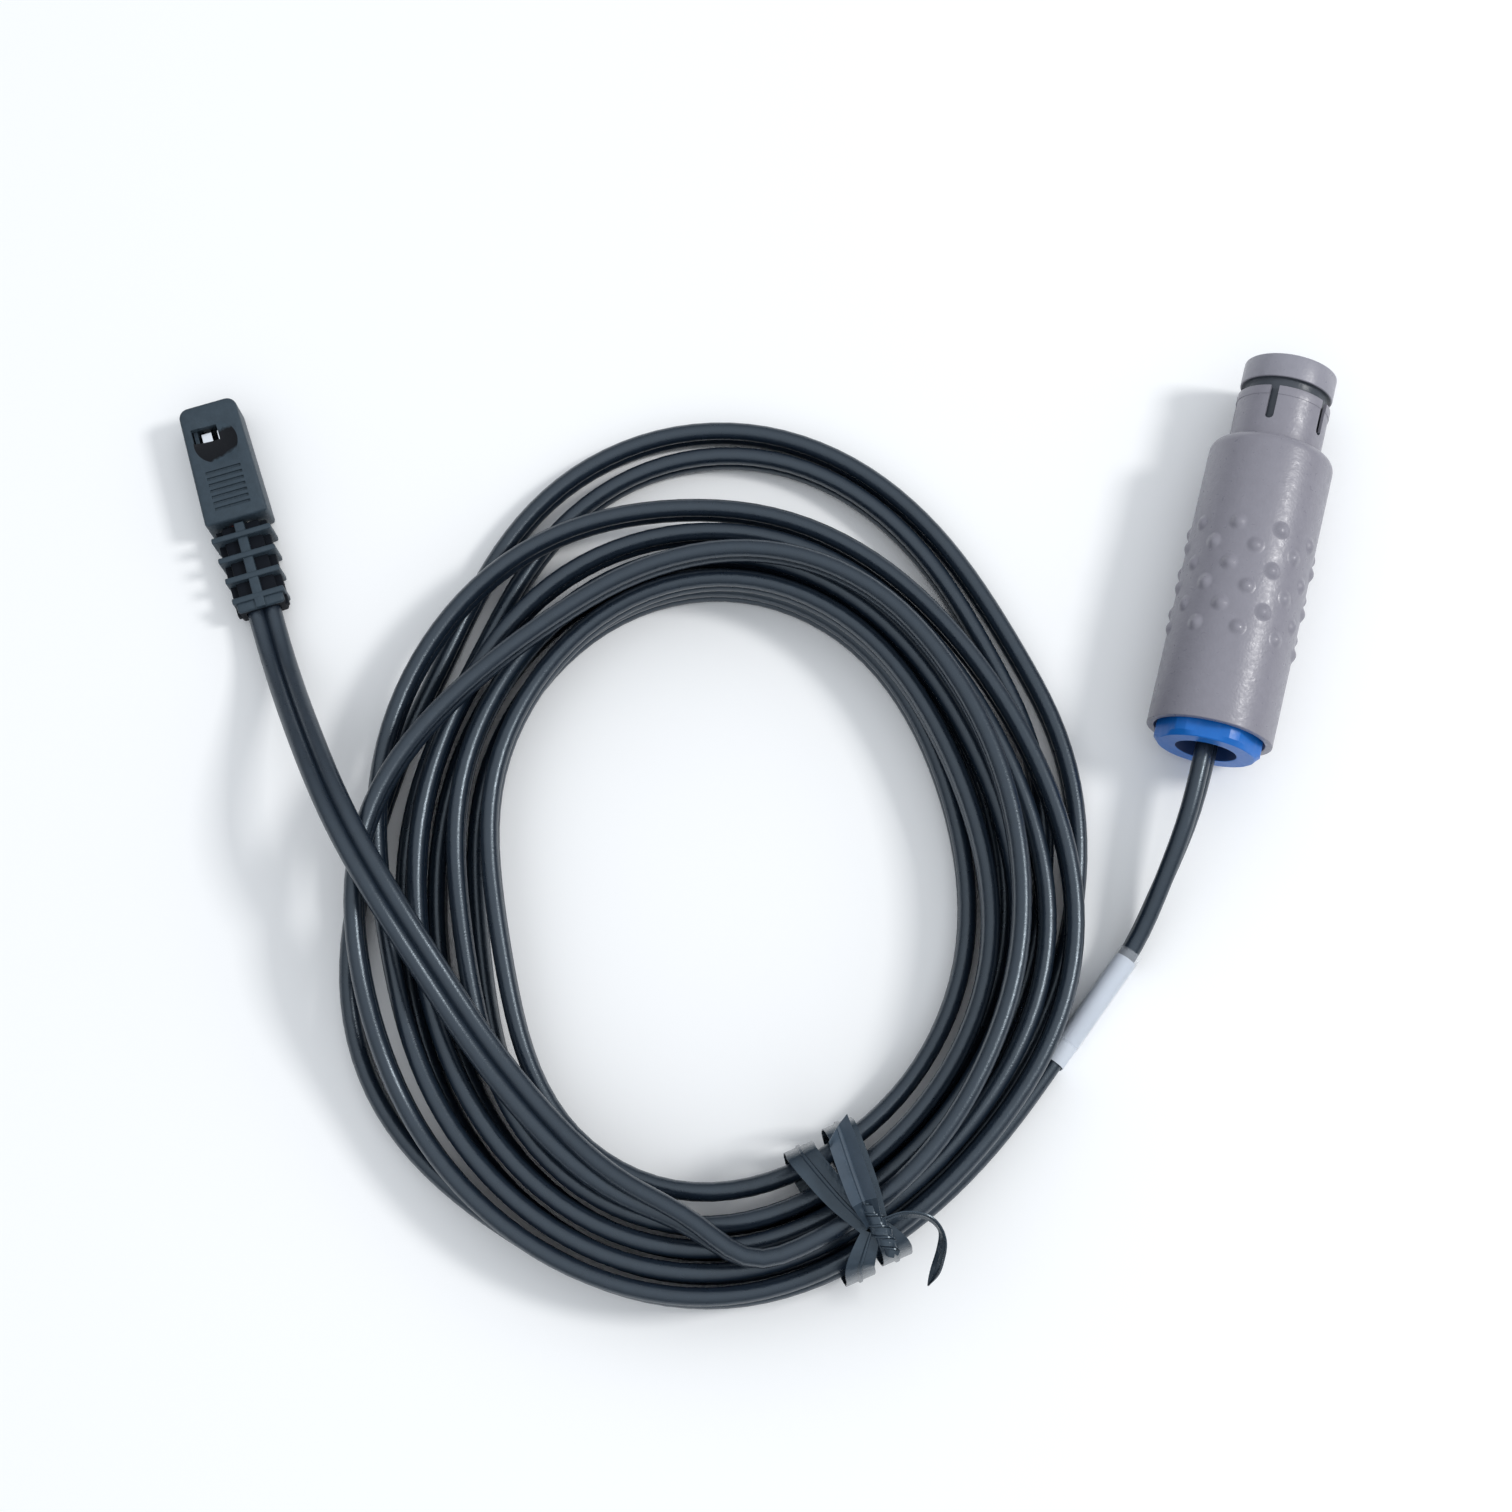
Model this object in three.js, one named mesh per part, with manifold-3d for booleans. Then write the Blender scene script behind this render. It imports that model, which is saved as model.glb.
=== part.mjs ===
// A two-core instrument lead, in millimetres, +Z up. A push-pull connector lies along +Y with its nose
// forward. A flat twin-core cord leaves its clamping nut, is wound into a tied coil on the left and ends
// in a small flat plug. The origin is on the floor, under the middle of the connector.
import * as THREE from "three";
import { mergeVertices } from "three/addons/utils/BufferGeometryUtils.js";
import Module from "manifold-3d";

const wasm = await Module();
wasm.setup();

const UP = new THREE.Vector3(0, 0, 1);
const GAP = 0.3; // clearance between neighbouring pieces
const THIN_GAP = 0.15; // clearance of the thin wraps and the seal round the cord

// ---- cord
const CORD_WIDTH = 4.4;
const CORD_THICKNESS = 2.3;
const CORE_SPACING = CORD_WIDTH - CORD_THICKNESS;
const WIRE_RADIUS = 0.55;
const WIRE_BORE = WIRE_RADIUS + GAP;

// ---- connector, along its axis
const NOSE_REACH = 11.5; // from the sleeve's front to the nose's tip
const SHELL_LENGTH = 38.85;
const NUT_REACH = 2.05; // from the sleeve's rear to the nut's end
const SHELL_TRAVEL = 2.0;
const NOSE_TIP = (NOSE_REACH + SHELL_LENGTH + NUT_REACH) / 2;
const SHELL_FRONT = NOSE_TIP - NOSE_REACH;
const SHELL_REAR = SHELL_FRONT - SHELL_LENGTH;
const NUT_END = SHELL_REAR - NUT_REACH;

// ---- release sleeve
const SHELL_RADIUS = 8.0;
const SHELL_WALL = 0.95;
const SHELL_BORE = SHELL_RADIUS - SHELL_WALL;
const SHOULDER_RADIUS = 1.5;
const LIP_LENGTH = 2.2;
const LIP_WALL = 1.67;
const LIP_BORE = SHELL_RADIUS - LIP_WALL;
const RIB_DEPTH = 0.9;
const RIB_LENGTH = 1.4;
const RIB_TO_REAR = 14.45; // from the rib's front to the sleeve's rear
const RIB_BORE = SHELL_BORE - RIB_DEPTH;
const BUMP_RINGS = 6;
const BUMPS_PER_RING = 9;
const BUMP_RADIUS = 0.95;
const BUMP_HEIGHT = 0.45;
const BUMP_PITCH = 2.75;
const FIRST_BUMP = 12.8; // from the sleeve's front to the first ring
const BUMP_PHASE = -24; // degrees of the first bump round from the top

// ---- nose
const RING_LENGTH = 3.2;
const RING_HEIGHT = 0.05; // of the nose ring over the collar
const RING_CHAMFER = 0.25;
const GROOVE_WIDTH = 1.3;
const COLLAR_WALL = 0.4;
const COLLAR_STEP = 1.2; // front band of the collar, a little proud
const COLLAR_STEP_HEIGHT = 0.08;
const COLLAR_RADIUS = LIP_BORE - GAP - COLLAR_STEP_HEIGHT;
const COLLAR_FRONT = NOSE_TIP - RING_LENGTH - GROOVE_WIDTH;
const RING_RADIUS = COLLAR_RADIUS + RING_HEIGHT;
const NECK_RADIUS = COLLAR_RADIUS - COLLAR_WALL - GAP;
const NECK_WALL = 0.75;
const SLOT_WIDTH = 1.1;
const SLOT_LENGTH = 4.6;
const SLOTS = 5;
const SLOT_PHASE = -22; // degrees of the first slot round from the top
const SLIDE_GAP = 0.45; // between the sleeve's bore or rib and what it slides over
const FLANGE_RADIUS = SHELL_BORE - SLIDE_GAP;
const FLANGE_LENGTH = 2.1;
const BARREL_BORE = NECK_RADIUS - NECK_WALL;
const BARREL_WALL = 1.5;
const BODY_RADIUS = BARREL_BORE + BARREL_WALL;
const SOCKET_STEP = 0.6;
const SOCKET_RADIUS = BARREL_BORE - SOCKET_STEP;
const SOCKET_DEPTH = 9.2;
const REAR_COLLAR_LENGTH = 2.0;
const KEY_WIDTH = 1.0;
const KEY_HEIGHT = 0.7;
const KEY_ROOT = 0.4; // of the key inside the nose's wall
const KEY_TO_PINS = 0.5;

// ---- inside the connector
const INSERT_RADIUS = BARREL_BORE - GAP;
const INSERT_LENGTH = 9.0;
const PIN_RADIUS = 0.65;
const PIN_SPACING = 3.2;
const PIN_REACH = 4.5; // out of the insert's face
const PIN_TAIL = 1.5; // behind the insert
const PIN_CUP = 1.2; // depth of the cup that the core is soldered in
const RETAINER_LENGTH = 3.0;
const RETAINER_BORE = INSERT_RADIUS - 4 * GAP;
const CLAMP_FLANGE = 3.4;
const SPIGOT_LENGTH = 5.0;
const SPIGOT_RADIUS = BARREL_BORE - GAP;
const THROAT_GAP = 0.4;
const CLAMP_THROAT = CORD_WIDTH / 2 + THROAT_GAP;
const SEAL_LENGTH = 5.0;
const COLLET_LENGTH = 5.85;
const COLLET_BORE = CORD_WIDTH / 2 + GAP;
const COLLET_TAPER = 0.8;
const COLLET_SLOT = 0.6;
const CORD_PAST_SEAL = 1.2;

// ---- clamping nut
const NUT_CORNER = SHELL_BORE - GAP;
const NUT_ROUNDING = 0.55; // from a rounded corner down to a flat
const NUT_FLAT = NUT_CORNER - NUT_ROUNDING;
const NUT_LENGTH = 8.75;
const NUT_END_WALL = 3.3;
const NUT_WALL = 0.8;
const NUT_RIM = 2.3; // between the mouth and the flats
const NUT_MOUTH = NUT_FLAT - NUT_RIM;
const NUT_HOLE = CLAMP_THROAT + GAP;
const NUT_CONE_STEP = 0.5;
const NUT_CHAMFER = 0.5;
const THREAD_RADIUS = NUT_FLAT - NUT_WALL - GAP;
const CLAMP_WALL = (THREAD_RADIUS - COLLET_BORE - GAP) / 2; // as thick as the collet in its bore
const CLAMP_BORE = THREAD_RADIUS - CLAMP_WALL;
const COLLET_RADIUS = CLAMP_BORE - GAP;
const MOUTH_DEPTH = 2.3; // where the clamped stretch meets the free cord
const NUT_TURN = 20; // degrees from a corner at the top

// ---- label
const LABEL_WALL = 0.12;
const SLEEVE_WALL = 0.15;
const LABEL_LENGTH = 16.0;
const SLEEVE_OVERHANG = 1.1;
const LABEL_TO_COIL = 5.5;

// ---- flat plug, along its own axis from its rear face
const PLUG_PLACE = new THREE.Vector3(-128.05, -26.95, 0);
const PLUG_TURN = 31.7;
const PLUG_LENGTH = 16.6;
const PLUG_THICKNESS = 6.0;
const PLUG_REAR_WIDTH = 8.4;
const PLUG_NOSE_WIDTH = 7.7;
const PLUG_CORNER = 1.2;
const PLUG_WALL = 0.9;
const POCKET_DEPTH = 13.2;
const DISH_AT = 11.0;
const DISH_RADIUS = 2.9;
const DISH_DEPTH = 0.6;
const WINDOW_AT = 12.4;
const WINDOW_LENGTH = 2.0;
const WINDOW_WIDTH = 3.4;
const WINDOW_OFF = -1.1; // the window sits to the left of the plug's middle
const CARRIER_OPENING = 3.6; // length of the carrier's opening under the window
const OPENING_BACK = 0.5; // how far its middle lies behind the window's
const GRIP_GROOVES = 7;
const GRIP_PITCH = 0.85;
const GRIP_FIRST = 1.9;
const GRIP_WIDTH = 4.7;
const GRIP_DEPTH = 0.3;
const GRIP_CUT = 0.42;
const CLIP_THICKNESS = 0.35;
const CLIP_WIDTH = 0.9;
const CLIP_SPACING = 2.1;
const CLIP_LENGTH = 11.0;
const CLIP_TAB = 1.6;
const CLIP_REACH = 1.8; // of the bent tab above the clip's middle
const CLIP_TONGUE_WIDTH = 1.3;
const CLIP_TONGUE_LENGTH = 1.5;

// ---- strain relief of the flat plug
const RELIEF_LENGTH = 12.0;
const RELIEF_RIBS = 4;
const RIB_PITCH = 2.85;
const RIB_FIRST = 1.8; // from the relief's front to the middle of its first rib
const RIB_THICKNESS = 0.8;
const RELIEF_WIDTH_START = 7.9;
const RELIEF_WIDTH_END = 6.9;
const RELIEF_HEIGHT_START = 5.6;
const RELIEF_HEIGHT_END = 4.8;
const RELIEF_CORE_WIDTH = 5.0;
const RELIEF_CORE_HEIGHT = 3.0;
const END_BLOCK_STEP = 0.7; // the end block is a little smaller than the last rib
const SPINE_WIDTH = 1.3;

// ---- coil: a formula in degrees clockwise from the coil's top
const COIL_CENTRE = new THREE.Vector2(-54.9, -57.5);
const COIL_TURN = 14.65;
const OUTER_OVAL = { across: 46.6, along: 51.4 };
const INNER_OVAL = { across: 30.0, along: 38.0 };
const LOBE = 1.3; // three slight lobes of the outer oval
// How hand winding pulls the ovals about: by so many mm, at an angle, over a reach on each side of it.
const OUTER_PULLS = [
  [-0.9, 135, 45],
  [-0.8, 207, 35],
  [-1.2, 308, 32],
];
const INNER_PULLS = [
  [-0.8, 70, 45],
  [1.6, 108, 68],
  [0.5, 145, 55],
  [2.2, 198, 48],
];
// Single turns that stand away from their layer, at angles counted on from the coil's first top.
const LOOSE_TURNS = [
  [4.4, 247, 44], // the first turn at the lower left
  [11.8, 360, 57], // the first and second turn at the top and down the right
  [3.7, 409, 62],
  [11.6, 721, 54],
  [4.2, 768, 58],
  [3.5, 2826, 55], // the last turn but one at the upper left
];
const DRAWN_IN = 3.6; // the upper layers on the upper right
const LEFT_SWING = 2.0; // the innermost turns on the left
const CLIMB_ROOM = 1.3; // the climbing half turn keeps clear of the turn above it
const LAYER_STEP = 4.9;
const FLOOR_LAYER = 2.35; // height of the bottom layer's middle
const TIE_LIFT = 0.75; // the tie's ribbon lies under the turns there
const COIL_START = 125;
const TURNS_IN = 3.9;
const TURNS_CLIMB = 0.5;
const TURNS_OUT = 4.025;
const TURNS_OVER = 0.686; // the last turn crosses over the others
const STEPS_PER_TURN = 24;

// ---- twist tie
const TIE_AT = 157;
const TIE_REACH = 43; // from the coil's centre to the middle of the bundle there
const RIBBON_WIDTH = 3.6;
const RIBBON_THICKNESS = 0.4;
const KNOT_RADIUS = 1.7;
const KNOT_LENGTH = 4.6;
const WRAPS_AT = [-3.4, 1.6]; // the ribbon's two turns, from the tie's middle
const WRAP_CORNER = 1.7; // inner radius of a turn's corners

// ================================================================ solids
function solidOf(geometry) {
  const bare = geometry.clone();
  bare.deleteAttribute("normal");
  bare.deleteAttribute("uv");
  const merged = mergeVertices(bare, 1e-4);
  return new wasm.Manifold(
    new wasm.Mesh({
      numProp: 3,
      vertProperties: new Float32Array(merged.attributes.position.array),
      triVerts: new Uint32Array(merged.index.array),
    }),
  );
}

function geometryOf(solid) {
  const mesh = solid.getMesh();
  const geometry = new THREE.BufferGeometry();
  geometry.setAttribute("position", new THREE.BufferAttribute(mesh.vertProperties, 3));
  geometry.setIndex(new THREE.BufferAttribute(mesh.triVerts, 1));
  return geometry;
}

function join(...geometries) {
  return geometryOf(geometries.map(solidOf).reduce((whole, piece) => whole.add(piece)));
}

function cut(body, ...tools) {
  return geometryOf(tools.map(solidOf).reduce((rest, tool) => rest.subtract(tool), solidOf(body)));
}

// A turned piece round the Y axis. The profile is a closed list of [radius, station] corners.
function turned(profile, sides = 32) {
  const points = profile.map(([radius, station]) => new THREE.Vector2(radius, station));
  points.push(points[0].clone());
  const flipped = THREE.ShapeUtils.area(points) < 0;
  if (flipped) points.reverse();
  return new THREE.LatheGeometry(points, sides);
}

// A plain tube or rod round the Y axis, between two stations.
function tube(outer, inner, from, to, sides = 32) {
  const profile = [
    [inner, from],
    [outer, from],
    [outer, to],
    [inner, to],
  ];
  return turned(profile, sides);
}

function block(width, length, height, x, y, z) {
  return new THREE.BoxGeometry(width, length, height).translate(x, y, z);
}

// The cord's flat section with its two rounded edges, grown by a clearance.
function cordSection(grow = 0, sides = 10) {
  const shape = new THREE.Shape();
  const radius = CORD_THICKNESS / 2 + grow;
  const half = CORE_SPACING / 2;
  const perEnd = sides / 2 - 1;
  for (let end = 0; end < 2; end++) {
    for (let i = 0; i <= perEnd; i++) {
      const angle = Math.PI * (end + i / perEnd) - Math.PI / 2;
      const x = (end ? -half : half) + radius * Math.cos(angle);
      const y = radius * Math.sin(angle);
      if (end || i) shape.lineTo(x, y);
      else shape.moveTo(x, y);
    }
  }
  shape.closePath();
  return shape;
}

// A route with a level reference, so that the flat cord's roll is known all along it.
// Roll 0 stands the cord on its edge, and 90 lays it flat.
class CordRoute extends THREE.CatmullRomCurve3 {
  constructor(points, rollStart, rollEnd, rollDone = 1) {
    super(points, false, "centripetal");
    this.roll = { start: rollStart, end: rollEnd, done: rollDone };
  }

  computeFrenetFrames(steps) {
    const frames = { tangents: [], normals: [], binormals: [] };
    for (let i = 0; i <= steps; i++) {
      const part = THREE.MathUtils.smoothstep(i / steps, 0, this.roll.done);
      const roll = THREE.MathUtils.lerp(this.roll.start, this.roll.end, part);
      const frame = levelFrame(this.getTangentAt(i / steps), roll);
      frames.tangents.push(frame.tangent);
      frames.normals.push(frame.wide);
      frames.binormals.push(frame.thin);
    }
    return frames;
  }
}

function levelFrame(tangent, rollDegrees) {
  const roll = THREE.MathUtils.degToRad(rollDegrees);
  const side = new THREE.Vector3().crossVectors(tangent, UP).normalize();
  const lift = new THREE.Vector3().crossVectors(side, tangent).normalize();
  const wide = lift.clone().multiplyScalar(Math.cos(roll)).addScaledVector(side, Math.sin(roll));
  const thin = new THREE.Vector3().crossVectors(tangent, wide).normalize();
  return { tangent, wide, thin };
}

function along(shape, route, steps) {
  return new THREE.ExtrudeGeometry(shape, { steps, extrudePath: route, bevelEnabled: false });
}

function circle(radius, sides) {
  const shape = new THREE.Shape();
  for (let i = 0; i < sides; i++) {
    const angle = (2 * Math.PI * i) / sides;
    if (i) shape.lineTo(radius * Math.cos(angle), radius * Math.sin(angle));
    else shape.moveTo(radius, 0);
  }
  shape.closePath();
  return shape;
}

// Joins rings of points into one closed tube with flat ends.
function tubeOfRings(rings) {
  const sides = rings[0].length;
  const positions = rings.flat().flatMap((point) => point.toArray());
  const faces = [];
  const last = (rings.length - 1) * sides;
  for (let ring = 0; ring < rings.length - 1; ring++) {
    for (let side = 0; side < sides; side++) {
      const next = (side + 1) % sides;
      const a = ring * sides + side;
      const b = ring * sides + next;
      faces.push(a, b, a + sides, b, b + sides, a + sides);
    }
  }
  for (let side = 1; side < sides - 1; side++) {
    faces.push(0, side + 1, side);
    faces.push(last, last + side, last + side + 1);
  }
  const geometry = new THREE.BufferGeometry();
  geometry.setAttribute("position", new THREE.Float32BufferAttribute(positions, 3));
  geometry.setIndex(faces);
  return geometry;
}

// ================================================================ coil formula
function bump(distance, reach) {
  const part = Math.abs(distance) / reach;
  return part >= 1 ? 0 : Math.cos((Math.PI / 2) * part) ** 2;
}

function fromAngle(degrees, centre) {
  return THREE.MathUtils.euclideanModulo(degrees - centre + 180, 360) - 180;
}

function ovalRadius(oval, degrees) {
  const angle = THREE.MathUtils.degToRad(degrees);
  return 1 / Math.hypot(Math.sin(angle) / oval.across, Math.cos(angle) / oval.along);
}

function pulled(pulls, degrees) {
  return pulls.reduce((sum, [by, at, reach]) => sum + by * bump(fromAngle(degrees, at), reach), 0);
}

const CLIMB_MIDDLE = TURNS_IN + TURNS_CLIMB / 2;
const OVER_FROM = TURNS_IN + TURNS_CLIMB + TURNS_OUT;
const COIL_TURNS = OVER_FROM + TURNS_OVER;
const { smoothstep } = THREE.MathUtils;

// Radius, height and roll of the cord's middle, so many turns from the coil's start.
function coilStation(turns) {
  const degrees = COIL_START + 360 * turns;
  const over = 360 * (turns - OVER_FROM);
  // how far in from the outer oval (0) to the inner oval (1)
  let inward = turns / CLIMB_MIDDLE;
  if (turns > CLIMB_MIDDLE) inward = Math.max(1 - (turns - CLIMB_MIDDLE) / (OVER_FROM - CLIMB_MIDDLE), 0);
  inward += 0.78 * smoothstep(over, -14, 58) - 0.28 * smoothstep(over, 64, 120);
  inward += 0.1 * bump(over - 185, 50) - 0.12 * smoothstep(over, 200, 245);
  const layer = smoothstep(turns, TURNS_IN, TURNS_IN + TURNS_CLIMB) + smoothstep(over, -46, -18);
  let outer = ovalRadius(OUTER_OVAL, degrees) + pulled(OUTER_PULLS, degrees);
  outer += LOBE * Math.cos(THREE.MathUtils.degToRad(3 * (degrees - 85)));
  // the upper layers are drawn in on the upper right
  outer -= DRAWN_IN * bump(fromAngle(degrees, 62), 60) * Math.min(layer, 1);
  const inner = ovalRadius(INNER_OVAL, degrees) + pulled(INNER_PULLS, degrees);
  let radius = outer + (inner - outer) * inward;
  for (const [by, at, reach] of LOOSE_TURNS) radius += by * bump(degrees - at, reach);
  // the innermost turns hang away from the rest on the left
  if (over <= 0) radius -= LEFT_SWING * bump(fromAngle(degrees, 258), 48) * smoothstep(inward, 0.5, 0.75);
  radius -= CLIMB_ROOM * bump(turns - CLIMB_MIDDLE, TURNS_CLIMB);
  const height = FLOOR_LAYER + LAYER_STEP * layer + TIE_LIFT * bump(fromAngle(degrees, TIE_AT), 70);
  return { degrees, radius, height };
}

function coilPoint(turns) {
  const { degrees, radius, height } = coilStation(turns);
  const angle = THREE.MathUtils.degToRad(degrees - COIL_TURN);
  const x = COIL_CENTRE.x + radius * Math.sin(angle);
  const y = COIL_CENTRE.y + radius * Math.cos(angle);
  return new THREE.Vector3(x, y, height);
}

function coilTangent(turns) {
  const step = 0.002;
  const before = coilPoint(Math.max(turns - step, 0));
  const after = coilPoint(Math.min(turns + step, COIL_TURNS));
  return after.sub(before).normalize();
}

// The least clear distance between turns that pass the same angle, across or up and down.
function leastCoilGap() {
  let least = Infinity;
  for (let turns = 0; turns < COIL_TURNS - 1; turns += 1 / STEPS_PER_TURN) {
    for (let other = turns + 1; other <= COIL_TURNS; other++) {
      const a = coilStation(turns);
      const b = coilStation(other);
      const across = Math.abs(a.radius - b.radius) - CORD_THICKNESS;
      const upright = Math.abs(a.height - b.height) - CORD_WIDTH;
      least = Math.min(least, Math.max(across, upright));
    }
  }
  return least;
}

const COIL_END_TANGENTS = [0, COIL_TURNS].map((turns) => {
  const tangent = coilTangent(turns);
  tangent.z = 0;
  return tangent.normalize();
});
const COIL_FIRST = coilPoint(0);
const COIL_LAST = coilPoint(COIL_TURNS);

// A point on the straight run before the coil's start, or past its end.
function beforeCoil(distance) {
  return COIL_FIRST.clone().addScaledVector(COIL_END_TANGENTS[0], -distance);
}

function pastCoil(distance) {
  return COIL_LAST.clone().addScaledVector(COIL_END_TANGENTS[1], distance);
}

function coilSection({ wide, thin }, centre) {
  const flank = CORD_WIDTH / 2 - CORD_THICKNESS / 4;
  const corners = [
    [CORD_WIDTH / 2, 0],
    [flank, CORD_THICKNESS / 2],
    [-flank, CORD_THICKNESS / 2],
    [-CORD_WIDTH / 2, 0],
    [-flank, -CORD_THICKNESS / 2],
    [flank, -CORD_THICKNESS / 2],
  ];
  return corners.map(([up, across]) =>
    centre.clone().addScaledVector(wide, up).addScaledVector(thin, across),
  );
}

function cordCoil() {
  const steps = Math.round(COIL_TURNS * STEPS_PER_TURN);
  const stations = [{ centre: beforeCoil(CORD_WIDTH), tangent: COIL_END_TANGENTS[0] }];
  for (let i = 0; i <= steps; i++) {
    const turns = (COIL_TURNS * i) / steps;
    const inEnds = i === 0 || i === steps;
    const tangent = inEnds ? COIL_END_TANGENTS[i ? 1 : 0] : coilTangent(turns);
    stations.push({ centre: coilPoint(turns), tangent });
  }
  stations.push({ centre: pastCoil(CORD_WIDTH), tangent: COIL_END_TANGENTS[1] });
  return tubeOfRings(stations.map(({ centre, tangent }) => coilSection(levelFrame(tangent, 0), centre)));
}

// ================================================================ connector
function aroundAxis(geometry, degrees) {
  return geometry.rotateY(THREE.MathUtils.degToRad(degrees));
}

function outerShell() {
  const lipRear = SHELL_FRONT - LIP_LENGTH;
  const rib = ribStations();
  const profile = [
    [LIP_BORE, SHELL_FRONT],
    [LIP_BORE, lipRear],
    [SHELL_BORE, lipRear],
    [SHELL_BORE, rib.front],
    [RIB_BORE, rib.front],
    [RIB_BORE, rib.rear],
    [SHELL_BORE, rib.rear],
    [SHELL_BORE, SHELL_REAR],
    [SHELL_RADIUS, SHELL_REAR],
  ];
  const arcSteps = 4;
  for (let i = 0; i <= arcSteps; i++) {
    const angle = (Math.PI / 2) * (i / arcSteps);
    const radius = SHELL_RADIUS - SHOULDER_RADIUS * (1 - Math.cos(angle));
    profile.push([radius, SHELL_FRONT - SHOULDER_RADIUS * (1 - Math.sin(angle))]);
  }
  let whole = solidOf(turned(profile, 36));
  for (let ring = 0; ring < BUMP_RINGS; ring++) {
    for (let i = 0; i < BUMPS_PER_RING; i++) {
      const spacing = 360 / BUMPS_PER_RING;
      const degrees = BUMP_PHASE + spacing * (i + (ring % 2) / 2);
      whole = whole.add(solidOf(gripBump(SHELL_FRONT - FIRST_BUMP - BUMP_PITCH * ring, degrees)));
    }
  }
  return geometryOf(whole);
}

// One domed grip bump, rooted in the sleeve's wall.
function gripBump(station, degrees) {
  const root = SHELL_WALL / 2;
  const dome = [
    [0, -root],
    [BUMP_RADIUS, -root],
    [BUMP_RADIUS, 0],
    [BUMP_RADIUS * 0.6, BUMP_HEIGHT * 0.8],
    [0, BUMP_HEIGHT],
  ];
  const geometry = turned(dome, 7).rotateX(Math.PI / 2);
  geometry.translate(0, station, SHELL_RADIUS);
  return aroundAxis(geometry, degrees);
}

// The sleeve's inner rib runs between the nose body's rear collar and the clamp body's flange.
function ribStations() {
  const front = SHELL_REAR + RIB_TO_REAR;
  return { front, rear: front - RIB_LENGTH };
}

const BODY_REAR = ribStations().front + GAP;
const CLAMP_FRONT = ribStations().rear - SHELL_TRAVEL - GAP;
const FLANGE_FRONT = SHELL_FRONT - LIP_LENGTH - SHELL_TRAVEL - GAP;
const COLLAR_REAR = FLANGE_FRONT - FLANGE_LENGTH;
const INSERT_FRONT = NOSE_TIP - SOCKET_DEPTH - GAP;
const INSERT_REAR = INSERT_FRONT - INSERT_LENGTH;

function noseBody() {
  const profile = [
    [SOCKET_RADIUS, NOSE_TIP],
    [SOCKET_RADIUS, NOSE_TIP - SOCKET_DEPTH],
    [BARREL_BORE, NOSE_TIP - SOCKET_DEPTH],
    [BARREL_BORE, BODY_REAR],
    [FLANGE_RADIUS, BODY_REAR],
    [FLANGE_RADIUS, BODY_REAR + REAR_COLLAR_LENGTH],
    [BODY_RADIUS, BODY_REAR + REAR_COLLAR_LENGTH],
    [BODY_RADIUS, COLLAR_REAR - GAP],
    [NECK_RADIUS, COLLAR_REAR - GAP],
    [NECK_RADIUS, NOSE_TIP - RING_LENGTH],
    [RING_RADIUS, NOSE_TIP - RING_LENGTH],
    [RING_RADIUS, NOSE_TIP - RING_CHAMFER],
    [RING_RADIUS - RING_CHAMFER, NOSE_TIP],
  ];
  const keyLength = SOCKET_DEPTH - PIN_REACH - KEY_TO_PINS;
  const keyMiddle = SOCKET_RADIUS + (KEY_ROOT - KEY_HEIGHT) / 2;
  const key = block(KEY_WIDTH, keyLength, KEY_HEIGHT + KEY_ROOT, 0, 0, keyMiddle);
  key.translate(0, NOSE_TIP - SOCKET_DEPTH + keyLength / 2, 0);
  return join(turned(profile), key);
}

function latchCollar() {
  const inner = COLLAR_RADIUS - COLLAR_WALL;
  const proud = COLLAR_RADIUS + COLLAR_STEP_HEIGHT;
  const profile = [
    [inner, COLLAR_REAR],
    [FLANGE_RADIUS, COLLAR_REAR],
    [FLANGE_RADIUS, FLANGE_FRONT],
    [COLLAR_RADIUS, FLANGE_FRONT],
    [COLLAR_RADIUS, COLLAR_FRONT - COLLAR_STEP],
    [proud, COLLAR_FRONT - COLLAR_STEP],
    [proud, COLLAR_FRONT],
    [inner, COLLAR_FRONT],
  ];
  const slots = [];
  for (let i = 0; i < SLOTS; i++) {
    const straight = SLOT_LENGTH - SLOT_WIDTH / 2;
    const depth = 4 * COLLAR_WALL;
    const middle = COLLAR_RADIUS - COLLAR_WALL / 2;
    const slot = block(SLOT_WIDTH, straight + 1, depth, 0, COLLAR_FRONT - straight / 2 + 0.5, middle);
    const end = new THREE.CylinderGeometry(SLOT_WIDTH / 2, SLOT_WIDTH / 2, depth, 12).rotateX(Math.PI / 2);
    end.translate(0, COLLAR_FRONT - straight, middle);
    slots.push(aroundAxis(join(slot, end), SLOT_PHASE + (360 / SLOTS) * i));
  }
  return cut(turned(profile), ...slots);
}

function contactInsert() {
  const bores = [-1, 1].map((side) =>
    tubeRod(PIN_RADIUS + GAP, INSERT_REAR - 1, INSERT_FRONT + 1).translate((side * PIN_SPACING) / 2, 0, 0),
  );
  return cut(tubeRod(INSERT_RADIUS, INSERT_REAR, INSERT_FRONT, 28), ...bores);
}

// A solid rod round the Y axis.
function tubeRod(radius, from, to, sides = 12) {
  const profile = [
    [0, from],
    [radius, from],
    [radius, to],
    [0, to],
  ];
  return turned(profile, sides);
}

function contactPin(side) {
  const tip = INSERT_FRONT + PIN_REACH;
  const rear = INSERT_REAR - PIN_TAIL;
  const profile = [
    [0, rear + PIN_CUP],
    [PIN_RADIUS * 0.6, rear + PIN_CUP],
    [PIN_RADIUS * 0.6, rear],
    [PIN_RADIUS, rear],
    [PIN_RADIUS, tip - PIN_RADIUS],
    [PIN_RADIUS * 0.6, tip - PIN_RADIUS * 0.2],
    [0, tip],
  ];
  return turned(profile, 12).translate((side * PIN_SPACING) / 2, 0, 0);
}

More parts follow.
